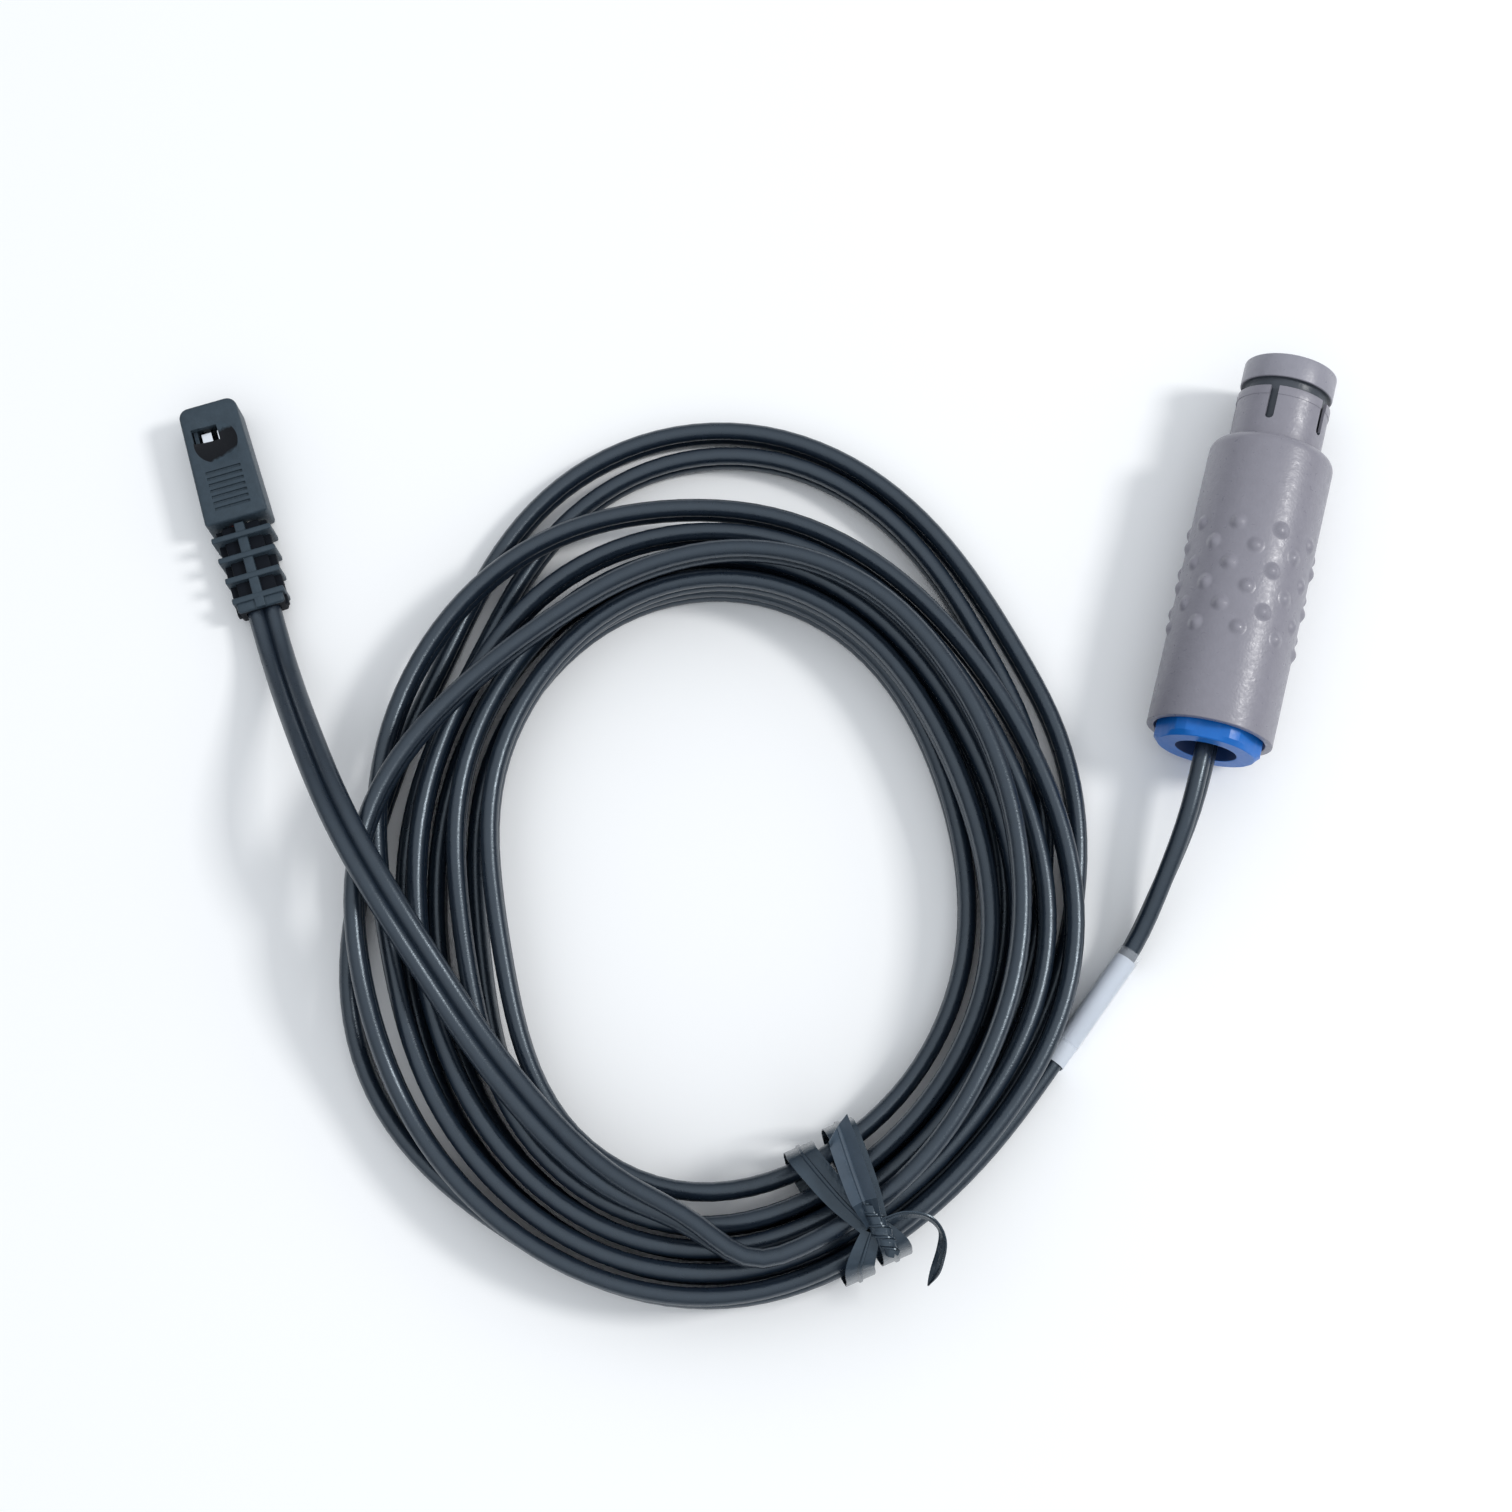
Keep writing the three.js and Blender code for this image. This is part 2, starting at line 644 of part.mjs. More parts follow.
function insertRetainer() {
  const front = INSERT_REAR - GAP;
  return tube(INSERT_RADIUS, RETAINER_BORE, front - RETAINER_LENGTH, front, 28);
}

const THREAD_FRONT = CLAMP_FRONT - CLAMP_FLANGE;
const NUT_FRONT = NUT_END + NUT_LENGTH;
const THREAD_REAR = NUT_END + NUT_END_WALL + GAP;
const COLLET_REAR = THREAD_REAR;
const COLLET_FRONT = COLLET_REAR + COLLET_LENGTH;
const SEAL_REAR = COLLET_FRONT + GAP;
const SEAL_FRONT = SEAL_REAR + SEAL_LENGTH;
const CORD_CUT = SEAL_FRONT + CORD_PAST_SEAL; // where the jacket ends and the two cores go on
const MOUTH_JOINT = NUT_END + MOUTH_DEPTH;

function clampBody() {
  const neck = RIB_BORE - SLIDE_GAP;
  const profile = [
    [CLAMP_THROAT, CLAMP_FRONT + SPIGOT_LENGTH],
    [CLAMP_THROAT, SEAL_FRONT + GAP],
    [CLAMP_BORE, SEAL_FRONT + GAP],
    [CLAMP_BORE, THREAD_REAR],
    [THREAD_RADIUS, THREAD_REAR],
    [THREAD_RADIUS, THREAD_FRONT],
    [NUT_CORNER, THREAD_FRONT],
    [NUT_CORNER, CLAMP_FRONT],
    [neck, CLAMP_FRONT],
    [neck, BODY_REAR - GAP],
    [SPIGOT_RADIUS, BODY_REAR - GAP],
    [SPIGOT_RADIUS, CLAMP_FRONT + SPIGOT_LENGTH],
  ];
  return turned(profile);
}

function cordCollet() {
  const profile = [
    [COLLET_BORE, COLLET_REAR],
    [COLLET_RADIUS - COLLET_TAPER, COLLET_REAR],
    [COLLET_RADIUS, COLLET_REAR + 2 * COLLET_TAPER],
    [COLLET_RADIUS, COLLET_FRONT],
    [COLLET_BORE, COLLET_FRONT],
  ];
  const slotLength = COLLET_LENGTH * 0.7;
  const slots = [0, 90].map((degrees) =>
    aroundAxis(block(COLLET_SLOT, 2 * slotLength, 3 * COLLET_RADIUS, 0, COLLET_REAR, 0), degrees + 45),
  );
  return cut(turned(profile, 24), ...slots);
}

// A straight stretch of cord, or the hole for one, along the connector's axis.
function straightCord(grow, from, to) {
  const geometry = new THREE.ExtrudeGeometry(cordSection(grow), { depth: to - from, bevelEnabled: false });
  geometry.rotateX(-Math.PI / 2).translate(0, from, 0);
  return aroundAxis(geometry, 90 - LEAD_ROLL);
}

const LEAD_ROLL = 22; // degrees that the cord leans to the left where it leaves the nut

function cordGrommet() {
  const outer = tubeRod(CLAMP_BORE - GAP, SEAL_REAR, SEAL_FRONT, 24);
  return cut(outer, straightCord(THIN_GAP, SEAL_REAR - 1, SEAL_FRONT + 1));
}

function colletNut() {
  const toCorner = NUT_FLAT / Math.cos(Math.PI / 6);
  const hexagon = new THREE.CylinderGeometry(toCorner, toCorner, NUT_LENGTH, 6);
  hexagon.translate(0, (NUT_FRONT + NUT_END) / 2, 0);
  const rounding = turned(
    [
      [0, NUT_END],
      [NUT_CORNER - NUT_CHAMFER, NUT_END],
      [NUT_CORNER, NUT_END + NUT_CHAMFER],
      [NUT_CORNER, NUT_FRONT],
      [0, NUT_FRONT],
    ],
    48,
  );
  const hole = turned(
    [
      [0, NUT_END - 1],
      [NUT_MOUTH, NUT_END - 1],
      [NUT_MOUTH, NUT_END],
      [NUT_HOLE + NUT_CONE_STEP, NUT_END + NUT_END_WALL * 0.75],
      [NUT_HOLE, NUT_END + NUT_END_WALL],
      [THREAD_RADIUS + GAP, NUT_END + NUT_END_WALL],
      [THREAD_RADIUS + GAP, NUT_FRONT + 1],
      [0, NUT_FRONT + 1],
    ],
    32,
  );
  const blank = geometryOf(solidOf(hexagon).intersect(solidOf(rounding)));
  return aroundAxis(cut(blank, hole), NUT_TURN);
}

// A core from the cord's cut end to the rear of its pin.
function coreWire(side) {
  const roll = THREE.MathUtils.degToRad(LEAD_ROLL);
  const start = new THREE.Vector3(-side * Math.sin(roll), 0, side * Math.cos(roll));
  start.multiplyScalar(CORE_SPACING / 2);
  start.y = CORD_CUT + GAP;
  const end = new THREE.Vector3(-(side * PIN_SPACING) / 2, INSERT_REAR - PIN_TAIL - GAP, 0);
  const points = [
    start,
    start.clone().setY(start.y + 2),
    end.clone().setY(end.y - 4),
    end,
  ];
  return along(circle(WIRE_RADIUS, 8), new CordRoute(points, 0, 0), 12);
}

// ================================================================ cord, label and tie
function leadPoints(axisHeight) {
  const start = new THREE.Vector3(0, MOUTH_JOINT - GAP, axisHeight);
  const route = [
    start,
    new THREE.Vector3(0, -30.0, axisHeight),
    new THREE.Vector3(0, -34.0, axisHeight - 0.4),
    new THREE.Vector3(-0.6, -39.0, axisHeight - 1.5),
    new THREE.Vector3(-1.3, -43.7, axisHeight - 3.0),
    new THREE.Vector3(-2.0, -47.9, axisHeight - 4.2),
  ];
  const labelEnd = LABEL_TO_COIL + LABEL_LENGTH;
  for (const distance of [labelEnd + 3.2, labelEnd + 1.6, labelEnd / 2 + 3, LABEL_TO_COIL]) {
    route.push(beforeCoil(distance));
  }
  route.push(beforeCoil(CORD_WIDTH + GAP));
  return route;
}

const TAIL_ROUTE = [
  [-47.5, -98.9, 12.4],
  [-57.0, -97.4, 12.0],
  [-66.0, -93.3, 11.5],
  [-74.3, -87.7, 11.5],
  [-79.4, -83.7, 12.0],
  [-85.8, -78.0, 13.6],
  [-91.5, -72.9, 15.4],
  [-97.3, -67.4, 16.1],
  [-101.5, -63.1, 15.9],
  [-105.7, -58.3, 13.9],
  [-109.8, -53.4, 10.8],
  [-113.8, -48.5, 7.2],
];

function tailPoints() {
  const points = [pastCoil(CORD_WIDTH + GAP), pastCoil(CORD_WIDTH + 4)];
  points.push(...TAIL_ROUTE.map((place) => new THREE.Vector3(...place)));
  const middle = PLUG_THICKNESS / 2;
  const back = RELIEF_LENGTH + 2 * GAP;
  points.push(plugPoint(0, -back - CORD_WIDTH, middle), plugPoint(0, -back, middle));
  return points;
}

function labelTube(inner, wall, from, to) {
  const shape = cordSection(inner + wall, 12);
  shape.holes.push(cordSection(inner, 12));
  const route = new CordRoute([beforeCoil(to), beforeCoil((from + to) / 2), beforeCoil(from)], 0, 0);
  return along(shape, route, 2);
}

// The tie's own frame: x outward across the bundle, y along the cord, z up.
function placeAtTie(geometry) {
  const angle = THREE.MathUtils.degToRad(TIE_AT - COIL_TURN);
  geometry.rotateZ(Math.PI / 2 - angle);
  return geometry.translate(COIL_CENTRE.x, COIL_CENTRE.y, 0);
}

// The room that the bundle's turns take under a ribbon whose middle is so far along the cord.
function tieSpan(along) {
  const reaches = [];
  const heights = [];
  for (const edge of [along - RIBBON_WIDTH / 2, along + RIBBON_WIDTH / 2]) {
    const turned = Math.asin(-edge / TIE_REACH);
    const first = (TIE_AT + THREE.MathUtils.radToDeg(turned) - COIL_START) / 360;
    for (let turns = first; turns <= COIL_TURNS; turns++) {
      const pass = coilStation(turns);
      reaches.push(pass.radius * Math.cos(turned));
      heights.push(pass.height);
    }
  }
  const across = CORD_THICKNESS / 2 + 2 * GAP;
  const upright = CORD_WIDTH / 2 + GAP;
  return {
    inner: Math.min(...reaches) - across,
    outer: Math.max(...reaches) + across,
    bottom: Math.min(...heights) - upright,
    top: Math.max(...heights) + upright,
  };
}

function roundedOutline(span, grow, radius) {
  const shape = new THREE.Shape();
  const [left, right] = [span.inner - grow, span.outer + grow];
  const [low, high] = [span.bottom - grow, span.top + grow];
  shape.moveTo(left + radius, low);
  shape.lineTo(right - radius, low);
  shape.quadraticCurveTo(right, low, right, low + radius);
  shape.lineTo(right, high - radius);
  shape.quadraticCurveTo(right, high, right - radius, high);
  shape.lineTo(left + radius, high);
  shape.quadraticCurveTo(left, high, left, high - radius);
  shape.lineTo(left, low + radius);
  shape.quadraticCurveTo(left, low, left + radius, low);
  return shape;
}

function tieWrap(along) {
  const span = tieSpan(along);
  const shape = roundedOutline(span, RIBBON_THICKNESS, WRAP_CORNER + RIBBON_THICKNESS);
  shape.holes.push(roundedOutline(span, 0, WRAP_CORNER));
  const options = { depth: RIBBON_WIDTH, bevelEnabled: false, curveSegments: 4 };
  const loop = new THREE.ExtrudeGeometry(shape, options).rotateX(Math.PI / 2);
  return loop.translate(0, along + RIBBON_WIDTH / 2, 0);
}

function twistTie() {
  const span = tieSpan(0);
  const knotAt = THREE.MathUtils.lerp(span.inner, span.outer, 0.75);
  const knot = new THREE.CylinderGeometry(KNOT_RADIUS * 0.8, KNOT_RADIUS, KNOT_LENGTH, 10);
  knot.rotateZ(Math.PI / 2).translate(knotAt, 0, span.top + KNOT_RADIUS);
  const freeEnd = tieEnd([
    [knotAt - 1, 0, span.top + 1.2],
    [knotAt - 6, 0.2, span.top + 2.8],
    [knotAt - 11.5, 0.4, span.top + 4.8],
  ]);
  const curledEnd = tieEnd([
    [knotAt - 0.6, WRAPS_AT[0] + 0.6, span.top + RIBBON_THICKNESS],
    [knotAt - 0.6, 1, span.top + 1.2],
    [knotAt - 0.4, 4.4, span.top + 1.8],
    [knotAt + 2.6, 7.2, span.top + 0.4],
    [knotAt + 8.0, 4.4, span.top - 6.0],
  ]);
  return placeAtTie(join(...WRAPS_AT.map(tieWrap), knot, freeEnd, curledEnd));
}

function tieEnd(places) {
  const ribbon = new THREE.Shape();
  ribbon.moveTo(-RIBBON_THICKNESS / 2, -RIBBON_WIDTH / 2);
  ribbon.lineTo(RIBBON_THICKNESS / 2, -RIBBON_WIDTH / 2);
  ribbon.lineTo(RIBBON_THICKNESS / 2, RIBBON_WIDTH / 2);
  ribbon.lineTo(-RIBBON_THICKNESS / 2, RIBBON_WIDTH / 2);
  ribbon.closePath();
  const points = places.map((place) => new THREE.Vector3(...place));
  return along(ribbon, new CordRoute(points, 0, 0), 8);
}

// ================================================================ flat plug
const PLUG_ANGLE = THREE.MathUtils.degToRad(PLUG_TURN);

function plugPoint(x, y, z) {
  return new THREE.Vector3(x, y, z).applyAxisAngle(UP, PLUG_ANGLE).add(PLUG_PLACE);
}

function placePlug(geometry) {
  return geometry.rotateZ(PLUG_ANGLE).translate(PLUG_PLACE.x, PLUG_PLACE.y, PLUG_PLACE.z);
}

function plugHousing() {
  const rear = PLUG_REAR_WIDTH / 2;
  const nose = PLUG_NOSE_WIDTH / 2;
  const edge = 0.5;
  const outline = new THREE.Shape();
  outline.moveTo(-rear + edge, edge);
  outline.lineTo(rear - edge, edge);
  outline.lineTo(nose - edge, PLUG_LENGTH - PLUG_CORNER);
  outline.quadraticCurveTo(nose - edge, PLUG_LENGTH - edge, nose - PLUG_CORNER, PLUG_LENGTH - edge);
  outline.lineTo(-nose + PLUG_CORNER, PLUG_LENGTH - edge);
  outline.quadraticCurveTo(-nose + edge, PLUG_LENGTH - edge, -nose + edge, PLUG_LENGTH - PLUG_CORNER);
  outline.closePath();
  const body = new THREE.ExtrudeGeometry(outline, {
    depth: PLUG_THICKNESS - 2 * edge,
    bevelThickness: edge,
    bevelSize: edge,
    bevelSegments: 2,
    curveSegments: 4,
  }).translate(0, 0, edge);
  const pocketWidth = PLUG_NOSE_WIDTH - 2 * PLUG_WALL;
  const pocketHeight = PLUG_THICKNESS - 2 * PLUG_WALL;
  const middle = PLUG_THICKNESS / 2;
  const pocketMiddle = PLUG_LENGTH - POCKET_DEPTH / 2 + 0.5;
  const pocket = block(pocketWidth, POCKET_DEPTH + 1, pocketHeight, 0, pocketMiddle, middle);
  const dishSphere = (DISH_RADIUS ** 2 + DISH_DEPTH ** 2) / (2 * DISH_DEPTH);
  const dish = new THREE.SphereGeometry(dishSphere, 32, 24);
  dish.rotateX(Math.PI / 2).translate(0, DISH_AT, PLUG_THICKNESS - DISH_DEPTH + dishSphere);
  const window = block(WINDOW_WIDTH, WINDOW_LENGTH, PLUG_THICKNESS + 2, WINDOW_OFF, WINDOW_AT, middle);
  const grooves = [];
  for (let i = 0; i < GRIP_GROOVES; i++) {
    const y = GRIP_FIRST + GRIP_PITCH * i;
    grooves.push(block(GRIP_WIDTH, GRIP_CUT, 2 * GRIP_DEPTH, 0, y, PLUG_THICKNESS));
  }
  const boreEnd = PLUG_LENGTH - POCKET_DEPTH + 1;
  const bores = [-1, 1].map((side) =>
    tubeRod(WIRE_BORE, -1, boreEnd, 10).translate((side * CLIP_SPACING) / 2, 0, middle),
  );
  return placePlug(cut(body, pocket, dish, window, ...grooves, ...bores));
}

function strainRelief() {
  const middle = PLUG_THICKNESS / 2;
  const rear = -GAP - RELIEF_LENGTH;
  const coreMiddle = rear + RELIEF_LENGTH / 2;
  const core = block(RELIEF_CORE_WIDTH, RELIEF_LENGTH, RELIEF_CORE_HEIGHT, 0, coreMiddle, middle);
  const sized = (y) => {
    const part = (-GAP - y) / RELIEF_LENGTH;
    return {
      width: THREE.MathUtils.lerp(RELIEF_WIDTH_START, RELIEF_WIDTH_END, part),
      height: THREE.MathUtils.lerp(RELIEF_HEIGHT_START, RELIEF_HEIGHT_END, part),
    };
  };
  const pieces = [core];
  for (let i = 0; i < RELIEF_RIBS; i++) {
    const y = -GAP - RIB_FIRST - RIB_PITCH * i;
    const { width, height } = sized(y);
    pieces.push(block(width, RIB_THICKNESS, height, 0, y, middle));
  }
  const end = sized(rear);
  const lastRib = -GAP - RIB_FIRST - RIB_PITCH * (RELIEF_RIBS - 1);
  const endWidth = end.width - END_BLOCK_STEP;
  const endHeight = end.height - END_BLOCK_STEP;
  pieces.push(block(endWidth, lastRib - rear, endHeight, 0, (lastRib + rear) / 2, middle));
  pieces.push(block(SPINE_WIDTH, RELIEF_LENGTH, end.height, 0, rear + RELIEF_LENGTH / 2, middle));
  pieces.push(block(end.width, RELIEF_LENGTH, SPINE_WIDTH, 0, rear + RELIEF_LENGTH / 2, middle));
  const bores = [-1, 1].map((side) =>
    tubeRod(WIRE_BORE, rear - 1, 1, 10).translate((side * CLIP_SPACING) / 2, 0, middle),
  );
  return placePlug(cut(join(...pieces), ...bores));
}

const CARRIER_REAR = PLUG_LENGTH - POCKET_DEPTH + 1.5;
const CLIP_REAR = CARRIER_REAR - 0.5;

function contactCarrier() {
  const middle = PLUG_THICKNESS / 2;
  const width = PLUG_NOSE_WIDTH - 2 * PLUG_WALL - 2 * GAP;
  const height = PLUG_THICKNESS - 2 * PLUG_WALL - 2 * GAP;
  const length = PLUG_LENGTH - 0.5 - CARRIER_REAR;
  const body = block(width, length, height, 0, CARRIER_REAR + length / 2, middle);
  const channels = [-1, 1].map((side) =>
    block(CLIP_WIDTH + 2 * GAP, length + 2, CLIP_THICKNESS + 2 * GAP, (side * CLIP_SPACING) / 2,
      CARRIER_REAR + length / 2, middle),
  );
  const opening = CLIP_SPACING + CLIP_TAB + 2 * GAP;
  const window = block(opening, CARRIER_OPENING, height + 2, 0, WINDOW_AT - OPENING_BACK, middle);
  return placePlug(cut(body, ...channels, window));
}

function contactClip(side) {
  const middle = PLUG_THICKNESS / 2;
  const x = (side * CLIP_SPACING) / 2;
  const strip = block(CLIP_WIDTH, CLIP_LENGTH, CLIP_THICKNESS, x, CLIP_REAR + CLIP_LENGTH / 2, middle);
  const tabAt = WINDOW_AT - WINDOW_LENGTH / 2;
  const tab = block(CLIP_TAB, CLIP_THICKNESS, CLIP_REACH, x, tabAt, middle + CLIP_REACH / 2);
  // the tab's top is bent forward, and shows in the window
  const tongueHeight = middle + CLIP_REACH - CLIP_THICKNESS / 2;
  const tongueMiddle = tabAt + CLIP_TONGUE_LENGTH / 2;
  const tongue = block(CLIP_TONGUE_WIDTH, CLIP_TONGUE_LENGTH, CLIP_THICKNESS, x, tongueMiddle, tongueHeight);
  return placePlug(join(strip, tab, tongue));
}

function plugWire(side) {
  const middle = PLUG_THICKNESS / 2;
  const x = (side * CLIP_SPACING) / 2;
  return placePlug(tubeRod(WIRE_RADIUS, -RELIEF_LENGTH, CLIP_REAR - GAP, 8).translate(x, 0, middle));
}

// ================================================================ assembly
const MATERIALS = {
  greyPlastic: { color: 0x8e8b94, roughness: 0.42, metalness: 0 },
  bluePlastic: { color: 0x3f7fd0, roughness: 0.45, metalness: 0 },
  insulator: { color: 0xd9d6cc, roughness: 0.5, metalness: 0 },
  pinMetal: { color: 0xc9a552, roughness: 0.3, metalness: 1 },
  springMetal: { color: 0xc8cbd0, roughness: 0.25, metalness: 1 },
  blackRubber: { color: 0x1c2128, roughness: 0.5, metalness: 0 },
  blackPlastic: { color: 0x2a3038, roughness: 0.55, metalness: 0 },
  label: { color: 0xf2f2f0, roughness: 0.8, metalness: 0 },
  clearSleeve: { color: 0xdfe3e6, roughness: 0.15, metalness: 0 },
  redWire: { color: 0x9c2f2a, roughness: 0.5, metalness: 0 },
  whiteWire: { color: 0xe6e6e2, roughness: 0.5, metalness: 0 },
};

function piece(name, geometry, material) {
  const mesh = new THREE.Mesh(geometry, new THREE.MeshStandardMaterial(MATERIALS[material]));
  mesh.name = name;
  return mesh;
}

const lead = new THREE.Group();
const connector = new THREE.Group();
const shellGeometry = outerShell();
shellGeometry.computeBoundingBox();
const AXIS_HEIGHT = -shellGeometry.boundingBox.min.z;
connector.position.z = AXIS_HEIGHT;
connector.add(
  piece("outer_shell", shellGeometry, "greyPlastic"),
  piece("nose_body", noseBody(), "greyPlastic"),
  piece("latch_collar", latchCollar(), "greyPlastic"),
  piece("contact_insert", contactInsert(), "insulator"),
  piece("contact_pin_1", contactPin(-1), "pinMetal"),
  piece("contact_pin_2", contactPin(1), "pinMetal"),
  piece("insert_retainer", insertRetainer(), "greyPlastic"),
  piece("clamp_body", clampBody(), "greyPlastic"),
  piece("cord_collet", cordCollet(), "blackPlastic"),
  piece("cord_grommet", cordGrommet(), "blackRubber"),
  piece("collet_nut", colletNut(), "bluePlastic"),
  piece("clamped_cord", straightCord(0, MOUTH_JOINT, CORD_CUT), "blackRubber"),
  piece("core_wire_1", coreWire(-1), "redWire"),
  piece("core_wire_2", coreWire(1), "whiteWire"),
);
lead.add(connector);

const coilRoutePoints = [];
for (let i = 0; i <= 2000; i++) coilRoutePoints.push(coilPoint((COIL_TURNS * i) / 2000));
const leadRoute = new CordRoute(leadPoints(AXIS_HEIGHT), LEAD_ROLL, 0, 0.6);
const tailRoute = new CordRoute(tailPoints(), 0, 90, 0.35);
lead.add(
  piece("cord_lead", along(cordSection(), leadRoute, 16), "blackRubber"),
  piece("cord_coil", cordCoil(), "blackRubber"),
  piece("cord_tail", along(cordSection(), tailRoute, 30), "blackRubber"),
);

const labelInner = THIN_GAP;
const sleeveInner = labelInner + LABEL_WALL + THIN_GAP / 2;
const labelStart = LABEL_TO_COIL + LABEL_LENGTH;
lead.add(
  piece("label_slip", labelTube(labelInner, LABEL_WALL, LABEL_TO_COIL, labelStart), "label"),
  piece("label_sleeve", labelTube(sleeveInner, SLEEVE_WALL, LABEL_TO_COIL + 3, labelStart + SLEEVE_OVERHANG),
    "clearSleeve"),
  piece("twist_tie", twistTie(), "blackPlastic"),
  piece("plug_housing", plugHousing(), "blackPlastic"),
  piece("strain_relief", strainRelief(), "blackPlastic"),
  piece("contact_carrier", contactCarrier(), "blackPlastic"),
  piece("contact_clip_1", contactClip(-1), "springMetal"),
  piece("contact_clip_2", contactClip(1), "springMetal"),
  piece("plug_wire_1", plugWire(-1), "redWire"),
  piece("plug_wire_2", plugWire(1), "whiteWire"),
);

const coilLength = new THREE.CatmullRomCurve3(coilRoutePoints).getLength();
console.log("least gap between turns of the coil: " + leastCoilGap().toFixed(2) + " mm");
console.log("cord: " + (leadRoute.getLength() + coilLength + tailRoute.getLength()).toFixed(0) + " mm");
console.log("connector axis height: " + AXIS_HEIGHT.toFixed(3) + " mm");

export default lead;
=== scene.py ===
# %% [markdown]
# # An instrument lead
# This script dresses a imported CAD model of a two-core instrument lead: a grey push-pull connector, a flat
# twin-core cord wound into a tied coil, and a small flat plug. The CAD model is the fixed frame. Pieces
# whose shape has to be finer than its facets are built here and stand for its nodes, and the rest only
# get materials.

# %% Load the frame
import math

import bmesh
import bpy
import numpy as np
from mathutils import Matrix, Vector


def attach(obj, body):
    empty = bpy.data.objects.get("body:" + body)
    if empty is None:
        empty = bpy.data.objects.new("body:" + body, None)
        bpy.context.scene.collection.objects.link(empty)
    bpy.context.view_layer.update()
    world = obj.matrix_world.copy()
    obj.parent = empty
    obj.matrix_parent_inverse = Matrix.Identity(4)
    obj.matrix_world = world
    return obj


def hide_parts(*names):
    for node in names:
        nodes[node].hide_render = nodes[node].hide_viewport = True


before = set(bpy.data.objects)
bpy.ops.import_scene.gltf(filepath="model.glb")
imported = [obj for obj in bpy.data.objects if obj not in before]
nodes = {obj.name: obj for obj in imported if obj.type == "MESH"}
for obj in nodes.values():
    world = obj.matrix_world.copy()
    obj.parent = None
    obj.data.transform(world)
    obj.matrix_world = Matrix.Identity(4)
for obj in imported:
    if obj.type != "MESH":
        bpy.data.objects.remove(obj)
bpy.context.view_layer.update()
MM = 0.001

# %% [markdown]
# ## The camera
# The lead was photographed from about 32 cm above, leaning a little towards its lower edge, with the
# picture's upright turned against the connector's axis. A look-at matrix from three vectors gives that
# exactly, where Euler angles would have to be found by trial.

# %% Camera
FOCAL_PIXELS = 2457
FRAME_PIXELS = 1512
PHOTO_TURN = math.radians(14.65)
CAMERA_TILT = math.radians(13)
CAMERA_AT = Vector((-37.02, -108.44, 309.85)) * MM
LOOKS_AT = Vector((-55.11, -39.23, 0)) * MM


def aim(thing, place, target, upright):
    """Puts a camera or lamp at place, looking at target, with upright up in its picture."""
    forward = (target - place).normalized()
    right = forward.cross(upright).normalized()
    up = right.cross(forward)
    axes = Matrix((right, up, -forward)).transposed().to_4x4()
    thing.matrix_world = Matrix.Translation(place) @ axes


camera_data = bpy.data.cameras.new("camera")
camera_data.sensor_width = 36
camera_data.lens = camera_data.sensor_width * FOCAL_PIXELS / FRAME_PIXELS
camera_data.clip_start = 0.01
camera = bpy.data.objects.new("camera", camera_data)
bpy.context.scene.collection.objects.link(camera)
bpy.context.scene.camera = camera
level = Vector((-math.sin(PHOTO_TURN), math.cos(PHOTO_TURN), 0))
photo_up = level * math.cos(CAMERA_TILT) + Vector((0, 0, math.sin(CAMERA_TILT)))
aim(camera, CAMERA_AT, LOOKS_AT, photo_up)
print("camera lens, mm:", round(camera_data.lens, 1))

# %% [markdown]
# ## Where the cord runs
# A real coil of cord is wound by hand, so its turns are nearly ovals that spread where they are slack. A
# formula gives every turn from a few set values, and it is the same one the CAD model uses, so the fine
# cord lies where the plain solid lies. Angles run clockwise from the coil's top.

# %% The coil's formula
CORD_WIDTH, CORD_THICKNESS = 4.4, 2.3
COIL_CENTRE = Vector((-54.9, -57.5))
COIL_TURN = 14.65
OUTER_OVAL, INNER_OVAL = (46.6, 51.4), (30.0, 38.0)
LOBES, LOBE, LOBE_AT = 3, 1.3, 85
# How hand winding pulls the ovals about: by so many mm, at an angle, over a reach on each side of it.
OUTER_PULLS = [(-0.9, 135, 45), (-0.8, 207, 35), (-1.2, 308, 32)]
INNER_PULLS = [(-0.8, 70, 45), (1.6, 108, 68), (0.5, 145, 55), (2.2, 198, 48)]
UPPER_PULL = (-3.6, 62, 60)  # of the upper turns alone
LEFT_SWING = (-2.0, 258, 48)  # of the turns near the coil's middle
SWING_SHARES = (0.5, 0.75)  # of the way in, between which that pull sets in
CLIMB_ROOM = 1.3
# Single turns that stand away from their layer, at angles counted on from the coil's first top.
LOOSE_TURNS = [(4.4, 247, 44), (11.8, 360, 57), (3.7, 409, 62), (11.6, 721, 54), (4.2, 768, 58)]
LOOSE_TURNS += [(3.5, 2826, 55)]
# The last turn crosses over the others: by so much of the way in, from one angle to another.
CROSSINGS = [(0.78, -14, 58), (-0.28, 64, 120), (-0.12, 200, 245)]
CROSSING_BULGE = (0.1, 185, 50)
LAST_CLIMB = (-46, -18)  # angles from the crossing's start, between which it rises over the others
LAYER_STEP, FLOOR_LAYER, TIE_LIFT, TIE_LIFT_REACH = 4.9, 2.35, 0.75, 70
COIL_START, TIE_AT = 125, 157
TURNS_IN, TURNS_CLIMB, TURNS_OUT, TURNS_OVER = 3.9, 0.5, 4.025, 0.686
CLIMB_MIDDLE = TURNS_IN + TURNS_CLIMB / 2
OVER_FROM = TURNS_IN + TURNS_CLIMB + TURNS_OUT
COIL_TURNS = OVER_FROM + TURNS_OVER


def ease(x, low, high):
    """0 before low, 1 after high, and a smooth rise between."""
    part = min(max((x - low) / (high - low), 0), 1)
    return part * part * (3 - 2 * part)


